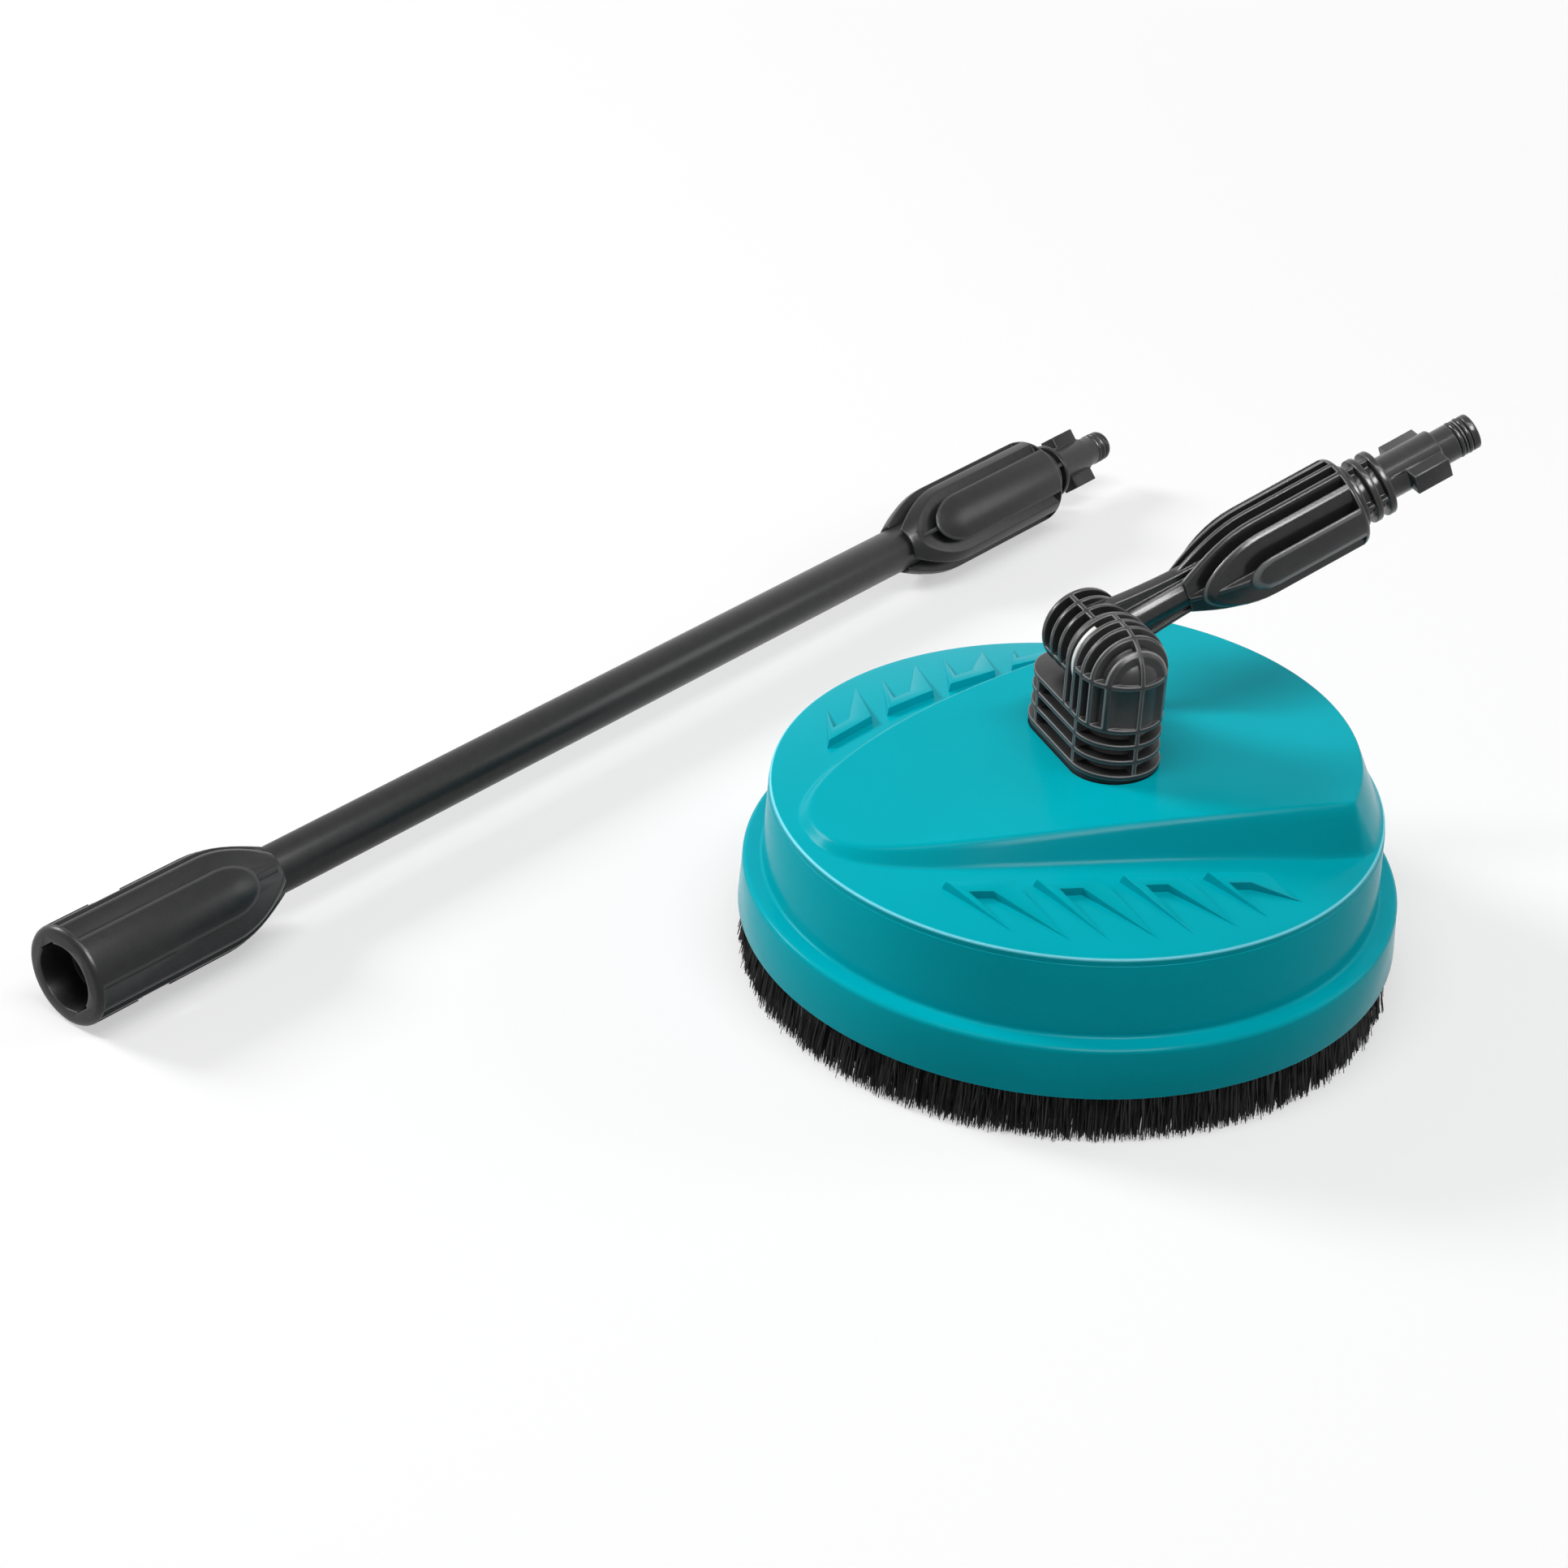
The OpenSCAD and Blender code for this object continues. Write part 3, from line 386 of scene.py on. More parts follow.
@dataclass
class Deck:
    """Round teal cover with skirt, ledge, domed deck, leaf-shaped plateau and raised teeth, in millimetres."""

    lower_z: float = 24.0
    skirt_r: float = 150.0
    skirt_top_r: float = 148.8
    ledge_z: float = 48.6
    wall_low_r: float = 139.8
    rim_r: float = 138.2
    rim_z: float = 87.0
    dome_rise: float = 13.5
    shell: float = 3.0
    ledge_round: float = 2.5
    ledge_fillet: float = 1.8
    rim_round: float = 1.4
    rim_bead: tuple[float, float] = (0.3, 3.4)
    # Shares of painted highlight on the points of the rim's round, from the top outwards.
    rim_highlight_shares: tuple[float, ...] = (0.8, 1.0, 1.0, 0.7, 0.2, 0.0)
    lip_round: float = 0.7
    plateau_z: float = 113.0
    plateau_drop: float = 20.3
    plateau_bend: float = 2.8
    fall_y: float = 90.0
    plateau_half: float = 71.0
    plateau_power: float = 0.4075
    tip_y: float = -127.5
    foot: float = 8.0
    tip_foot: float = 4.0
    crest: float = 1.1
    tip_crest: float = 0.6
    fillet: float = 3.6
    rear_r: float = 125.0
    rear_round: float = 1.2
    rear_spread: float = 2.2
    hole_y: float = 6.0
    hole_half: float = 39.4
    hole_r: float = 20.85
    start_r: float = 30.0
    band: tuple[float, float] = (-2.6, 12.0)
    band_rows: tuple[float, float] = (0.22, 0.76)
    least_share: float = 0.03
    spokes: int = 640
    doublings: int = 4
    top_rings: int = 64
    under_rings: int = 24
    tooth_first: float = -96.0
    tooth_pitch: float = 36.0
    tooth_count: int = 4
    tooth_margin: float = 13.3
    tooth_bar: tuple[float, float] = (28.0, 7.8)
    tooth_notch: tuple[float, float] = (8.0, 17.5)
    tooth_reach: tuple[float, float] = (17.0, 37.5)
    tooth_edge: float = 9.5
    tooth_h: float = 3.8
    tooth_root: float = 1.2
    tooth_draft: float = 0.9
    tooth_round: float = 0.35
    boss_r: float = 4.0
    ring_boss: tuple[float, float, float] = (130.9, 36.0, 85.0)
    tower_boss: tuple[float, float, float] = (18.55, 26.75, 104.0)
    boss_count: int = 8
    boss_sides: int = 24
    arc_steps: int = 6
    bead_steps: int = 3
    probes: int = 160
    batch: int = 4000
    least_rise: float = 1.0
    least_fillet: float = 0.2
    foot_power: int = 3
    crest_power: int = 6
    tooth_sharp: float = 25.0
    outline_steps: int = 260
    outline: np.ndarray = field(init=False)

    def __post_init__(self) -> None:
        """Samples the plateau's upper edge, closer together near its tip."""
        share = np.linspace(0.0, 1.0, self.outline_steps) ** 2
        along = self.tip_y + (self.rim_r - self.tip_y) * share
        self.outline = np.column_stack([self.half_width(along), along])

    def half_width(self, y: np.ndarray) -> np.ndarray:
        """Half width of the plateau's upper edge at places along the deck."""
        return self.plateau_half * np.maximum(0.0, (y - self.tip_y) / -self.tip_y) ** self.plateau_power

    def dome(self, r: np.ndarray) -> np.ndarray:
        """Height of the domed deck at radii."""
        return self.rim_z + self.dome_rise * (1.0 - (np.minimum(r, self.rim_r) / self.rim_r) ** 2)

    def edge_distance(self, x: np.ndarray, y: np.ndarray) -> np.ndarray:
        """Distance from the plateau's upper edge, less than zero inside.

        Args:
            x: Places across the deck.
            y: Places along the deck.

        Returns:
            The distances.
        """
        start = self.outline[:-1]
        run = self.outline[1:] - start
        length = (run ** 2).sum(axis=1)
        across = np.abs(x)
        nearest = np.empty_like(x)
        for first in range(0, len(x), self.batch):
            part = slice(first, first + self.batch)
            off = np.stack([across[part, None] - start[:, 0], y[part, None] - start[:, 1]], axis=2)
            share = np.clip((off * run).sum(axis=2) / length, 0.0, 1.0)
            nearest[part] = np.sqrt(((off - share[..., None] * run) ** 2).sum(axis=2).min(axis=1))
        inside = (y > self.tip_y) & (across < self.half_width(y))
        return np.where(inside, -nearest, nearest)

    def raised(self, x: np.ndarray, y: np.ndarray, floor: np.ndarray, inset: float) -> np.ndarray:
        """Height of the deck with its plateau blended in.

        Args:
            x: Places across the deck.
            y: Places along the deck.
            floor: Heights without the plateau.
            inset: Thickness by which the plateau is drawn in.

        Returns:
            The heights.
        """
        distance = self.edge_distance(x, y) + inset
        front = np.clip(np.minimum(y, 0.0) / self.tip_y, 0.0, 1.0)
        fall = np.maximum((self.fall_y - y) / (self.fall_y - self.tip_y), 0.0)
        top = self.plateau_z - inset - self.plateau_drop * fall ** self.plateau_bend
        low = self.dome(np.hypot(x, y)) - inset
        rise = np.maximum(top - low, self.least_rise)
        foot = self.foot + (self.tip_foot - self.foot) * front ** self.foot_power
        crest = self.crest + (self.tip_crest - self.crest) * front ** self.crest_power
        scale = np.clip(rise / (self.plateau_z - self.rim_z - self.dome_rise / 2), self.least_fillet, 1.0)
        wall = rise / foot
        body = smooth_min(top, top - wall * distance, 2.0 * crest * wall)
        slope = (self.plateau_z - self.rim_z) / (self.rim_r - self.rear_r)
        rear = self.plateau_z - inset - slope * (np.hypot(x, y) + inset - self.rear_r)
        depth = np.maximum(top - np.minimum(body, rear), 0.0)
        body = smooth_min(body, rear, self.rear_round + self.rear_spread * depth)
        return smooth_max(floor, body, self.fillet * scale)

    def hole_edge(self, angle: np.ndarray) -> np.ndarray:
        """Distance from the tower's middle to the edge of its hole, in directions.

        Args:
            angle: The directions in radians.

        Returns:
            The distances.
        """
        half = self.hole_half - self.hole_r
        cos = np.abs(np.cos(angle))
        sin = np.abs(np.sin(angle))
        end = half * cos + np.sqrt(np.maximum(self.hole_r ** 2 - (half * sin) ** 2, 0.0))
        side = self.hole_r / np.maximum(sin, TINY)
        return np.where(side * cos < half, side, end)

    def section(self) -> tuple[list[Point], list[Skin]]:
        """The shell's closed section, from the hole over the top, down the skirt and back up inside.

        Returns:
            The points as pairs of radius and height, and where each of them lies.
        """
        start = self.start_r
        flat = math.degrees(math.atan(2.0 * self.dome_rise / self.rim_r))
        turn = math.radians(90.0 - flat)
        rim_x = self.rim_r - self.rim_round
        top_end = rim_x + self.rim_round * math.cos(turn)
        rim_top = float(self.dome(np.array(top_end))) - self.rim_round * math.sin(turn)
        top = [(float(r), self.rim_z) for r in np.linspace(start, top_end, self.top_rings)]
        rim = arc_points((rim_x, rim_top), self.rim_round, 90.0 - flat, 0.0, self.arc_steps)[1:]
        bead, drop = self.rim_bead
        fillet_at = (self.wall_low_r + self.ledge_fillet, self.ledge_z + self.ledge_fillet)
        ledge_at = (self.skirt_top_r - self.ledge_round, self.ledge_z - self.ledge_round)
        lip_at = (self.skirt_r - self.lip_round, self.lower_z + self.lip_round)
        wall = [
            *arc_points((self.rim_r, self.rim_z - drop), bead, 90.0, 0.0, self.bead_steps),
            *arc_points(fillet_at, self.ledge_fillet, 180.0, 270.0, self.arc_steps),
            *arc_points(ledge_at, self.ledge_round, 90.0, 0.0, self.arc_steps),
            *arc_points(lip_at, self.lip_round, 0.0, -90.0, self.bead_steps),
        ]
        inner_ledge = self.ledge_z - self.shell
        inner = [
            (self.skirt_r - self.shell, self.lower_z),
            (self.skirt_top_r - self.shell, inner_ledge),
            (self.wall_low_r - self.shell, inner_ledge),
            (self.rim_r - self.shell, self.rim_z - self.shell - self.rim_round),
        ]
        inner_r = self.rim_r - self.shell - self.rim_round
        under = [(float(r), self.rim_z - self.shell) for r in np.linspace(inner_r, start, self.under_rings)]
        points = top + rim + wall + inner + under
        skins = [Skin.TOP] * (len(top) + len(rim)) + [Skin.ELSEWHERE] * (len(wall) + len(inner))
        return points, skins + [Skin.INSIDE] * len(under)

    def build(self) -> bpy.types.Object:
        """Spins the section, then lifts the plateau and shapes the hole.

        Returns:
            The shell.
        """
        points, skins = self.section()
        shape = bmesh.new()
        kind = shape.verts.layers.int.new("kind")
        rim_highlight = shape.verts.layers.float.new(RIM_HIGHLIGHT)
        ring = [shape.verts.new((r, 0.0, z)) for r, z in points]
        for vert, skin in zip(ring, skins):
            vert[kind] = skin.value
        # Marks the rim's round for its painted highlight.
        for vert, share in zip(ring[self.top_rings:], self.rim_highlight_shares):
            vert[rim_highlight] = share
        edges = [shape.edges.new((a, b)) for a, b in zip(ring, ring[1:] + ring[:1])]
        wedge = math.tau / 2 ** self.doublings
        steps = self.spokes // 2 ** self.doublings
        bmesh.ops.spin(
            shape, geom=ring + edges, cent=(0, 0, 0), axis=(0, 0, 1), angle=wedge, steps=steps, use_merge=False
        )
        for doubling in range(self.doublings):
            more = bmesh.ops.duplicate(shape, geom=[*shape.verts, *shape.edges, *shape.faces])
            verts = [g for g in more["geom"] if isinstance(g, bmesh.types.BMVert)]
            turn = Matrix.Rotation(wedge * 2 ** doubling, 3, "Z")
            bmesh.ops.rotate(shape, verts=verts, cent=(0, 0, 0), matrix=turn)
        bmesh.ops.remove_doubles(shape, verts=shape.verts, dist=self.shell * MM)
        bmesh.ops.recalc_face_normals(shape, faces=shape.faces)
        for skin, inset in ((Skin.TOP, 0.0), (Skin.INSIDE, self.shell)):
            self._lift([v for v in shape.verts if v[kind] == skin.value], inset)
        to_metres(shape)
        return new_piece("deck", shape, TEAL, "base", ("deck_shell",))

    def _lift(self, verts: list[bmesh.types.BMVert], inset: float) -> None:
        """Moves the points of one skin to the hole's edge and up to the plateau.

        Args:
            verts: The points.
            inset: Depth of the skin below the outside.
        """
        place = np.array([v.co for v in verts])
        radius = np.hypot(place[:, 0], place[:, 1])
        angle = np.arctan2(place[:, 1], place[:, 0])
        on_top = np.isclose(place[:, 2], self.rim_z - inset)
        end = radius[on_top].max()
        spoke = np.rint(angle / math.tau * self.spokes).astype(int) % self.spokes
        turns = np.arange(self.spokes) * math.tau / self.spokes
        reach = self.hole_edge(turns)
        ways = np.column_stack([np.cos(turns), np.sin(turns)])
        hole = reach[:, None] * ways + (0.0, self.hole_y)
        rim = end * ways
        share = self._rows(np.clip((radius - self.start_r) / (end - self.start_r), 0.0, 1.0), spoke, hole, rim)
        flat = hole[spoke] + (rim - hole)[spoke] * share[:, None]
        flat = np.where(on_top[:, None], flat, place[:, :2])
        x, y = flat.T
        r = np.hypot(x, y)
        floor = np.where(on_top, self.dome(r) - inset, place[:, 2])
        height = self.raised(x, y, floor, inset)
        for vert, across, along, up in zip(verts, x, y, height):
            vert.co = (across, along, up)

    def _rows(self, share: np.ndarray, spoke: np.ndarray, hole: np.ndarray, rim: np.ndarray) -> np.ndarray:
        """Draws the rows of points together along the plateau's wall, so that its edges run with the mesh.

        Args:
            share: Even shares of the way from the hole to the rim.
            spoke: Spoke of each point.
            hole: Inner end of each spoke.
            rim: Outer end of each spoke.

        Returns:
            The shares at which the points sit.
        """
        probe = np.linspace(0.0, 1.0, self.probes)
        place = hole[:, None] + (rim - hole)[:, None] * probe[None, :, None]
        x = place[..., 0].ravel()
        y = place[..., 1].ravel()
        beyond = np.maximum(self.edge_distance(x, y), np.hypot(x, y) - self.rear_r)
        beyond = np.maximum.accumulate(beyond.reshape(len(hole), -1), axis=1)
        low, high = (np.array([np.interp(level, row, probe) for row in beyond]) for level in self.band)
        high = np.minimum(high, 1.0 - self.least_share)[spoke]
        low = np.minimum(low[spoke], high - self.least_share)
        first, last = self.band_rows
        inside = low * share / first
        along = low + (high - low) * (share - first) / (last - first)
        outside = high + (1.0 - high) * (share - last) / (1.0 - last)
        return np.where(share < first, inside, np.where(share < last, along, outside))

    def tooth(self, shape: bmesh.types.BMesh, index: int, side: Side) -> None:
        """Adds one raised tooth: a bar near the plateau with two prongs that run out to points.

        Args:
            shape: Shape that takes the tooth.
            index: Place of the tooth from the front.
            side: Side of the deck.
        """
        start = self.tooth_first + self.tooth_pitch * index
        edge = self.rim_r - self.tooth_edge
        length, width = self.tooth_bar
        tall = self.tooth_h

        def bar(along: float, out: float) -> Point:
            """A corner of the bar."""
            y = start + along
            return float(self.half_width(np.array(y))) + self.foot + self.tooth_margin + out, y

        def point(along: float) -> Point:
            """The end of a prong."""
            y = start + along
            return math.sqrt(edge ** 2 - y ** 2), y

        near, far = self.tooth_reach
        first, last = self.tooth_notch
        corners = [
            (*bar(0.0, 0.0), tall, self.tooth_draft),
            (*bar(length, 0.0), tall, self.tooth_draft),
            (*point(far), 0.0, 0.0),
            (*bar(last, width), tall, 0.0),
            (*bar(first, width), tall, 0.0),
            (*point(near), 0.0, 0.0),
        ]
        base = []
        for x, y, *_ in corners:
            level = float(self.dome(np.array(math.hypot(x, y))))
            base.append(shape.verts.new((side.value * x, y, level - self.tooth_root)))
        away = self._outwards([v.co.xy for v in base])
        face = shape.faces.new(base)
        raised = bmesh.ops.extrude_face_region(shape, geom=[face], use_keep_orig=True)
        tops = [g for g in raised["geom"] if isinstance(g, bmesh.types.BMVert)]
        for vert in tops:
            below = min(range(len(base)), key=lambda i: (base[i].co - vert.co).length)
            _, _, rise, draft = corners[below]
            vert.co.xy -= away[below] * draft
            vert.co.z += self.tooth_root + rise
        rim = [g for g in raised["geom"] if isinstance(g, bmesh.types.BMEdge)]
        round_edges(shape, rim, self.tooth_round)

    @staticmethod
    def _outwards(corners: list[Vector]) -> list[Vector]:
        """Where each corner of an outline goes when its sides move out by one.

        Args:
            corners: The outline's corners in order.

        Returns:
            The way of each corner.
        """
        sides = list(zip(corners, corners[1:] + corners[:1]))
        area = sum(a.cross(b) for a, b in sides)
        normals = [((b - a).normalized().orthogonal() * -math.copysign(1.0, area)) for a, b in sides]
        before = normals[-1:] + normals[:-1]
        return [(a + b) / (1.0 + a.dot(b)) for a, b in zip(before, normals)]

    def build_teeth(self) -> bpy.types.Object:
        """Raises the teeth on both sides of the plateau.

        Returns:
            The teeth as one piece.
        """
        shape = bmesh.new()
        for side in Side:
            for index in range(self.tooth_count):
                self.tooth(shape, index, side)
        bmesh.ops.recalc_face_normals(shape, faces=shape.faces)
        to_metres(shape)
        return new_piece("deck_teeth", shape, TEAL, "base", sharp=self.tooth_sharp)

    def build_bosses(self) -> bpy.types.Object:
        """Adds the screw bosses inside the shell.

        Returns:
            The bosses as one piece.
        """
        shape = bmesh.new()
        radius, low, high = self.ring_boss
        turns = np.arange(self.boss_count) * math.tau / self.boss_count
        places = [(radius * math.cos(a), radius * math.sin(a), low, high) for a in turns]
        x, y, low = self.tower_boss
        for side in Side:
            along = np.array([self.hole_y + side.value * y])
            across = np.array([x])
            under = self.dome(np.hypot(across, along)) - self.shell
            high = float(self.raised(across, along, under, self.shell)[0]) + self.shell / 2
            places += [(end.value * x, float(along[0]), low, high) for end in Side]
        for x, y, low, high in places:
            middle = Matrix.Translation((x, y, (low + high) / 2))
            bmesh.ops.create_cone(
                shape, cap_ends=True, segments=self.boss_sides, radius1=self.boss_r, radius2=self.boss_r,
                depth=high - low, matrix=middle
            )
        to_metres(shape)
        return new_piece("deck_bosses", shape, TEAL, "base")


@dataclass
class Brush:
    """Ring of bristles in arcs: a backing slice each, packed with leaning nylon strands, in millimetres."""

    count: int = 8
    gap: float = 0.3
    inner_r: float = 135.4
    outer_r: float = 145.4
    backing_z: tuple[float, float] = (24.0, 27.0)
    strands: int = 1800
    bunch: int = 60
    root_bite: float = 1.0
    tuft: float = 0.9
    overlap: float = 0.004
    margin: float = 0.8
    thickness: tuple[float, float] = (0.24, 0.4)
    tip_share: float = 0.6
    lean: float = 3.2
    stray: float = 1.0
    floor_gap: float = 0.1
    ragged: float = 1.1
    bend: float = 0.9
    lean_shares: tuple[float, float] = (0.55, 0.45)
    sides: int = 3
    cuts: int = 2
    long_share: float = 0.25
    backing_steps: int = 24
    sharp: float = 60.0
    seed: int = 41

    def build(self) -> list[bpy.types.Object]:
        """Makes every arc of the ring.

        Returns:
            The arcs.
        """
        noise.seed_set(self.seed)
        return [self.arc(index) for index in range(self.count)]

    def arc(self, index: int) -> bpy.types.Object:
        """Makes one arc: its backing and its strands.

        Args:
            index: Place of the arc in the ring.

        Returns:
            The arc.
        """
        chance = random.Random(self.seed + index)
        span = math.tau / self.count
        spare = self.gap / self.outer_r
        start = index * span + spare
        shape = bmesh.new()
        self._strands(shape, chance, start, span - 2 * spare)
        self._backing(shape, start, span - 2 * spare)
        to_metres(shape)
        name = f"brush_segment_{index + 1}"
        return new_piece(f"bristles_{index + 1}", shape, NYLON, "base", (name,), sharp=self.sharp)

    def _backing(self, shape: bmesh.types.BMesh, start: float, span: float) -> None:
        """Adds the slice that carries the strands.

        Args:
            shape: Shape that takes the slice.
            start: First angle in radians.
            span: Angle that it covers.
        """
        before = len(shape.faces)
        low, high = self.backing_z
        corners = [(self.inner_r, low), (self.outer_r, low), (self.outer_r, high), (self.inner_r, high)]
        turn = Matrix.Rotation(start, 3, "Z")
        ring = [shape.verts.new(turn @ Vector((r, 0.0, z))) for r, z in corners]
        edges = [shape.edges.new((a, b)) for a, b in zip(ring, ring[1:] + ring[:1])]
        spun = bmesh.ops.spin(
            shape, geom=ring + edges, cent=(0, 0, 0), axis=(0, 0, 1), angle=span, steps=self.backing_steps,
            use_merge=False
        )
        last = [g for g in spun["geom_last"] if isinstance(g, bmesh.types.BMEdge)]
        for loop in (edges, last):
            bmesh.ops.contextual_create(shape, geom=loop)
        shape.faces.ensure_lookup_table()
        bmesh.ops.recalc_face_normals(shape, faces=shape.faces[before:])

    def _strands(self, shape: bmesh.types.BMesh, chance: random.Random, start: float, span: float) -> None:
        """Packs the arc with strands, each a slim three-sided cone that leans outwards and bows a little.

        Args:
            shape: Shape that takes the strands.
            chance: Source of the scatter.
            start: First angle in radians.
            span: Angle to fill.
        """
        for first in range(0, self.strands, self.bunch):
            bunch = bmesh.new()
            for _ in range(min(self.bunch, self.strands - first)):
                self._strand(bunch, chance, start, span)
            self._bow(bunch)
            mesh = bpy.data.meshes.new("bunch")
            bunch.to_mesh(mesh)
            bunch.free()
            shape.from_mesh(mesh)
            bpy.data.meshes.remove(mesh)

    def _strand(self, shape: bmesh.types.BMesh, chance: random.Random, start: float, span: float) -> None:
        """Adds one strand somewhere in the arc.

        Args:
            shape: Shape that takes the strand.
            chance: Source of the scatter.
            start: First angle in radians.
            span: Angle to fill.
        """
        top = self.backing_z[0] + self.root_bite
        middle = (self.inner_r + self.outer_r) / 2
        half = (self.outer_r - self.inner_r) / 2 - self.margin
        out = chance.uniform(-1.0, 1.0)
        turn = Matrix.Rotation(start + span * chance.uniform(-self.overlap, 1.0 + self.overlap), 3, "Z")
        root = Vector((middle + half * out, 0.0, top))
        low = self.floor_gap + abs(chance.gauss(0.0, self.ragged))
        even, spread = self.lean_shares
        reach = self.lean * (even + spread * out) + chance.gauss(0.0, self.stray)
        tip = Vector((root.x + reach, chance.gauss(0.0, self.stray), min(low, top / 2)))
        root = turn @ root
        tip = turn @ tip
        slope = (tip - root).to_track_quat("Z", "Y").to_matrix().to_4x4()
        thick = chance.uniform(*self.thickness)
        bmesh.ops.create_cone(
            shape, cap_ends=True, cap_tris=True, segments=self.sides, radius1=thick,
            radius2=thick * self.tip_share, depth=(tip - root).length,
            matrix=Matrix.Translation((root + tip) / 2) @ slope
        )

    def _bow(self, shape: bmesh.types.BMesh) -> None:
        """Cuts the strands of a bunch across and bows them, neighbours alike, so that they hang in tufts.

        Args:
            shape: The bunch.
        """
        top = self.backing_z[0] + self.root_bite
        long_edges = [e for e in shape.edges if e.calc_length() > top * self.long_share]
        bmesh.ops.subdivide_edges(shape, edges=long_edges, cuts=self.cuts, use_grid_fill=True)
        for vert in shape.verts:
            share = vert.co.z / top
            bow = 4.0 * share * (1.0 - share) * self.bend
            sway = noise.noise_vector(Vector((vert.co.x, vert.co.y, 0.0)) * self.tuft)
            vert.co.x += bow * sway.x
            vert.co.y += bow * sway.y


@dataclass
class Moulding:
    """A rigid piece that keeps its solid's shape, with its edges broken as a mould leaves them."""

    node: str
    body: str
    finish: Finish = BLACK
    edge: float = 0.5
    sharp: float = 28.0
    flat: float = 0.6
    weld: float = 2e-6

    def build(self) -> bpy.types.Object:
        """Merges a copy of the solid's triangles and bevels its sharp edges.

        Returns:
            The piece.
        """
        shape = bmesh.new()
        shape.from_mesh(frame["nodes"][self.node].data)
        bmesh.ops.remove_doubles(shape, verts=shape.verts, dist=self.weld)
        flat = math.radians(self.flat)
        bmesh.ops.dissolve_limit(shape, angle_limit=flat, verts=shape.verts, edges=shape.edges)
        limit = math.radians(self.sharp)
        edges = [e for e in shape.edges if e.is_manifold and e.calc_face_angle(0.0) > limit]
        round_edges(shape, edges, self.edge * MM)
        return new_piece(f"{self.node}_moulded", shape, self.finish, self.body, (self.node,))


@dataclass
class Mouldings:
    """The black mouldings, the white clip and the other solids that show."""

    base: tuple[str, ...] = ("pivot_tower",)
    handle: tuple[str, ...] = ("handle_body", "handle_spigot")
    lance: tuple[str, ...] = ("lance_tube", "lance_grip", "lance_socket", "lance_spigot")
    clip_edge: float = 0.25

    def build(self) -> list[bpy.types.Object]:
        """Bevels every moulding.

        Returns:
            The pieces.
        """
        pieces = []
        groups = (
            ("base", self.base, BLACK),
            ("handle", self.handle, HANDLE_BLACK),
            ("lance", self.lance, LANCE_BLACK),
        )
        for body, nodes, finish in groups:
            pieces += [Moulding(node, body, finish).build() for node in nodes]
        pieces.append(Moulding("pivot_clip", "base", WHITE, self.clip_edge).build())
        return pieces

    def dress_solids(self) -> None:
        """Gives every solid that stays the finish of its slot."""
        by_slot = {finish.slot: finish for finish in FINISHES}
        for row in frame["record"]["subparts"]:
            by_slot[row["material_slot"]].dress(frame["nodes"][row["node"]])


@dataclass
class Lamp:
    """A soft lamp of some width and height that faces a point, and may show in gloss alone."""

    name: str
    place: tuple[float, float, float]
    size: tuple[float, float]
    power: float
    target: tuple[float, float, float] = (-0.1, 0.0, 0.08)
    gloss_alone: bool = False

    def build(self) -> bpy.types.Object:
        """Hangs the lamp.

        Returns:
            The lamp.
        """
        data = bpy.data.lights.new(self.name, "AREA")
        data.shape = "RECTANGLE"
        data.size, data.size_y = self.size
        data.energy = self.power
        lamp = bpy.data.objects.new(self.name, data)
        towards = Vector(self.target) - Vector(self.place)
        facing = towards.to_track_quat("-Z", "Y").to_matrix().to_4x4()
        lamp.matrix_world = Matrix.Translation(self.place) @ facing
        lamp.visible_diffuse = not self.gloss_alone
        bpy.context.scene.collection.objects.link(lamp)
        return lamp


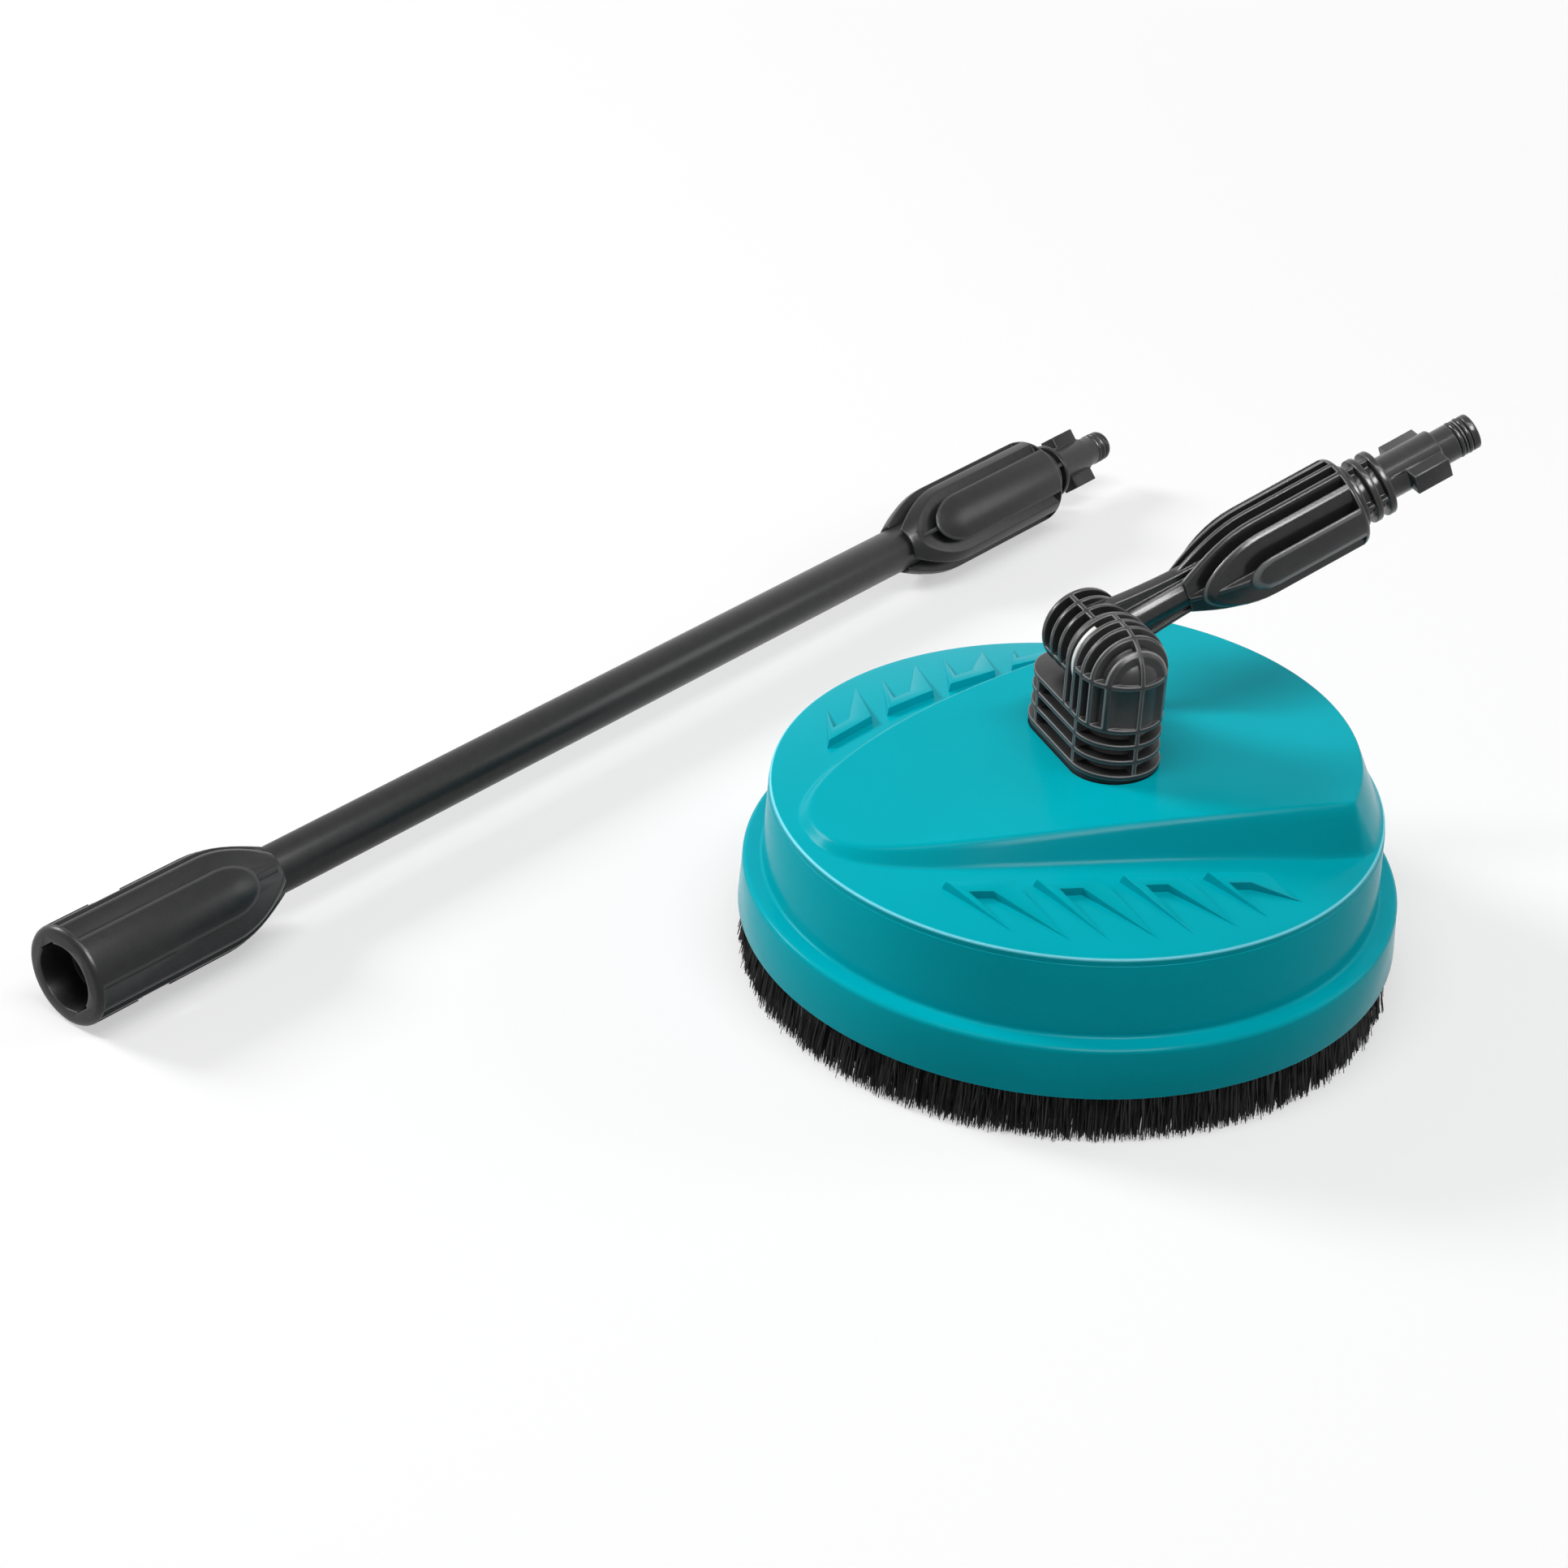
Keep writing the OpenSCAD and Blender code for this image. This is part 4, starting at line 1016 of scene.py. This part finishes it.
@dataclass
class Studio:
    """Pale floor, soft light and the photograph's camera."""

    camera_place: tuple[float, float, float] = (1.1864, -0.6712, 0.891)
    azimuth: float = 66.03
    elevation: float = 30.8
    roll: float = 2.84
    lens: float = 80.53
    sensor: float = 36.0
    floor_size: float = 8.0
    floor_tone: float = 0.95
    floor_glow: float = 0.5
    floor_fade: tuple[float, float] = (0.8, 2.0)
    floor_bounce: float = 0.43
    sky: float = 0.16
    lamps: tuple[Lamp, ...] = (
        Lamp("left_lamp", (-2.7, -2.6, 2.1), (1.2, 1.2), 122.0),
        Lamp("top_lamp", (0.63, -0.32, 4.0), (4.0, 0.45), 92.0),
        Lamp("right_lamp", (0.6, 3.6, 1.8), (1.6, 1.6), 30.0),
        Lamp("front_lamp", (1.78, -0.1, 2.58), (1.5, 1.2), 165.0, gloss_alone=True),
    )

    def build(self) -> None:
        """Sets up the camera, the lamps, the world and the floor."""
        scene = bpy.context.scene
        scene.view_settings.view_transform = "Standard"
        self._camera(scene)
        for lamp in self.lamps:
            lamp.build()
        self._world(scene)
        self._floor(scene)

    def _camera(self, scene: bpy.types.Scene) -> None:
        """Places the camera at the photograph's viewpoint.

        Args:
            scene: Scene that takes the camera.
        """
        data = bpy.data.cameras.new("photo_camera")
        data.lens = self.lens
        data.sensor_width = self.sensor
        camera = bpy.data.objects.new("photo_camera", data)
        turn = Matrix.Rotation(math.radians(self.azimuth), 4, "Z")
        tilt = Matrix.Rotation(math.radians(90.0 - self.elevation), 4, "X")
        roll = Matrix.Rotation(math.radians(self.roll), 4, "Z")
        camera.matrix_world = Matrix.Translation(self.camera_place) @ turn @ tilt @ roll
        scene.collection.objects.link(camera)
        scene.camera = camera

    @staticmethod
    def _seen(tree: bpy.types.NodeTree) -> Socket:
        """A factor of 1 for rays from the camera, by mirror or through glass, and of 0 for light on surfaces.

        Args:
            tree: Node tree that takes the factor.

        Returns:
            The socket with the factor.
        """
        rays = tree.nodes.new("ShaderNodeLightPath")
        seen = rays.outputs["Is Camera Ray"]
        for name in ("Is Glossy Ray", "Is Transmission Ray"):
            either = tree.nodes.new("ShaderNodeMath")
            either.operation = "MAXIMUM"
            tree.links.new(seen, either.inputs[0])
            tree.links.new(rays.outputs[name], either.inputs[1])
            seen = either.outputs["Value"]
        return seen

    def _world(self, scene: bpy.types.Scene) -> None:
        """White to look at, and a plain grey sky as light.

        Args:
            scene: Scene that takes the world.
        """
        world = bpy.data.worlds.new("studio")
        world.use_nodes = True
        tree = world.node_tree
        sky = tree.nodes["Background"]
        level = tree.nodes.new("ShaderNodeMapRange")
        level.inputs["To Min"].default_value = self.sky
        level.inputs["To Max"].default_value = 1.0
        tree.links.new(self._seen(tree), level.inputs["Value"])
        tree.links.new(level.outputs["Result"], sky.inputs["Strength"])
        sky.inputs["Color"].default_value = (1.0, 1.0, 1.0, 1.0)
        scene.world = world

    def _floor(self, scene: bpy.types.Scene) -> None:
        """A pale floor that keeps the shadow and throws little light back up.

        Args:
            scene: Scene that takes the floor.
        """
        shape = bmesh.new()
        bmesh.ops.create_grid(shape, x_segments=1, y_segments=1, size=self.floor_size / 2)
        mesh = bpy.data.meshes.new("floor")
        shape.to_mesh(mesh)
        shape.free()
        floor = bpy.data.objects.new("floor", mesh)
        scene.collection.objects.link(floor)
        mesh.materials.append(self._floor_material())

    def _floor_material(self) -> bpy.types.Material:
        """Pale to look at from above, duller as a source of light, and clear from below.

        Returns:
            The node material.
        """
        material = bpy.data.materials.new("studio_floor")
        material.use_nodes = True
        tree = material.node_tree
        tree.nodes.clear()
        out = tree.nodes.new("ShaderNodeOutputMaterial")
        pale = tree.nodes.new("ShaderNodeBsdfDiffuse")
        pale.inputs["Color"].default_value = (self.floor_tone,) * 3 + (1.0,)
        glow = tree.nodes.new("ShaderNodeEmission")
        shown = self._either(tree, self._fade(tree), pale.outputs["BSDF"], glow.outputs["Emission"])
        dull = tree.nodes.new("ShaderNodeBsdfDiffuse")
        dull.inputs["Color"].default_value = (self.floor_bounce,) * 3 + (1.0,)
        above = self._either(tree, self._seen(tree), dull.outputs["BSDF"], shown)
        face = tree.nodes.new("ShaderNodeNewGeometry")
        clear = tree.nodes.new("ShaderNodeBsdfTransparent")
        sided = self._either(tree, face.outputs["Backfacing"], above, clear.outputs["BSDF"])
        tree.links.new(sided, out.inputs["Surface"])
        return material

    @staticmethod
    def _either(tree: bpy.types.NodeTree, share: Socket, first: Socket, second: Socket) -> Socket:
        """Mixes two shaders.

        Args:
            tree: Node tree that takes the mix.
            share: Socket with the second shader's share.
            first: Socket of the first shader.
            second: Socket of the second shader.

        Returns:
            The socket with the mix.
        """
        mix = tree.nodes.new("ShaderNodeMixShader")
        tree.links.new(share, mix.inputs["Fac"])
        tree.links.new(first, mix.inputs[1])
        tree.links.new(second, mix.inputs[2])
        return mix.outputs["Shader"]

    def _fade(self, tree: bpy.types.NodeTree) -> Socket:
        """Lets the floor run out into the white surroundings, away from the shadows.

        Args:
            tree: Node tree that takes the fade.

        Returns:
            The socket with the share of white.
        """
        place = tree.nodes.new("ShaderNodeTexCoord")
        away = tree.nodes.new("ShaderNodeVectorMath")
        away.operation = "LENGTH"
        tree.links.new(place.outputs["Object"], away.inputs[0])
        fade = tree.nodes.new("ShaderNodeMapRange")
        fade.inputs["From Min"].default_value, fade.inputs["From Max"].default_value = self.floor_fade
        fade.inputs["To Min"].default_value = self.floor_glow
        fade.inputs["To Max"].default_value = 1.0
        tree.links.new(away.outputs["Value"], fade.inputs["Value"])
        return fade.outputs["Result"]


def main() -> None:
    """Builds the studio and every piece of the cleaner."""
    logging.basicConfig(level=logging.INFO, format="%(name)s %(relativeCreated)d ms: %(message)s")
    Studio().build()
    mouldings = Mouldings()
    mouldings.dress_solids()
    mouldings.build()
    deck = Deck()
    deck.build()
    deck.build_teeth()
    deck.build_bosses()
    Brush().build()


if __name__ == "__main__":
    main()
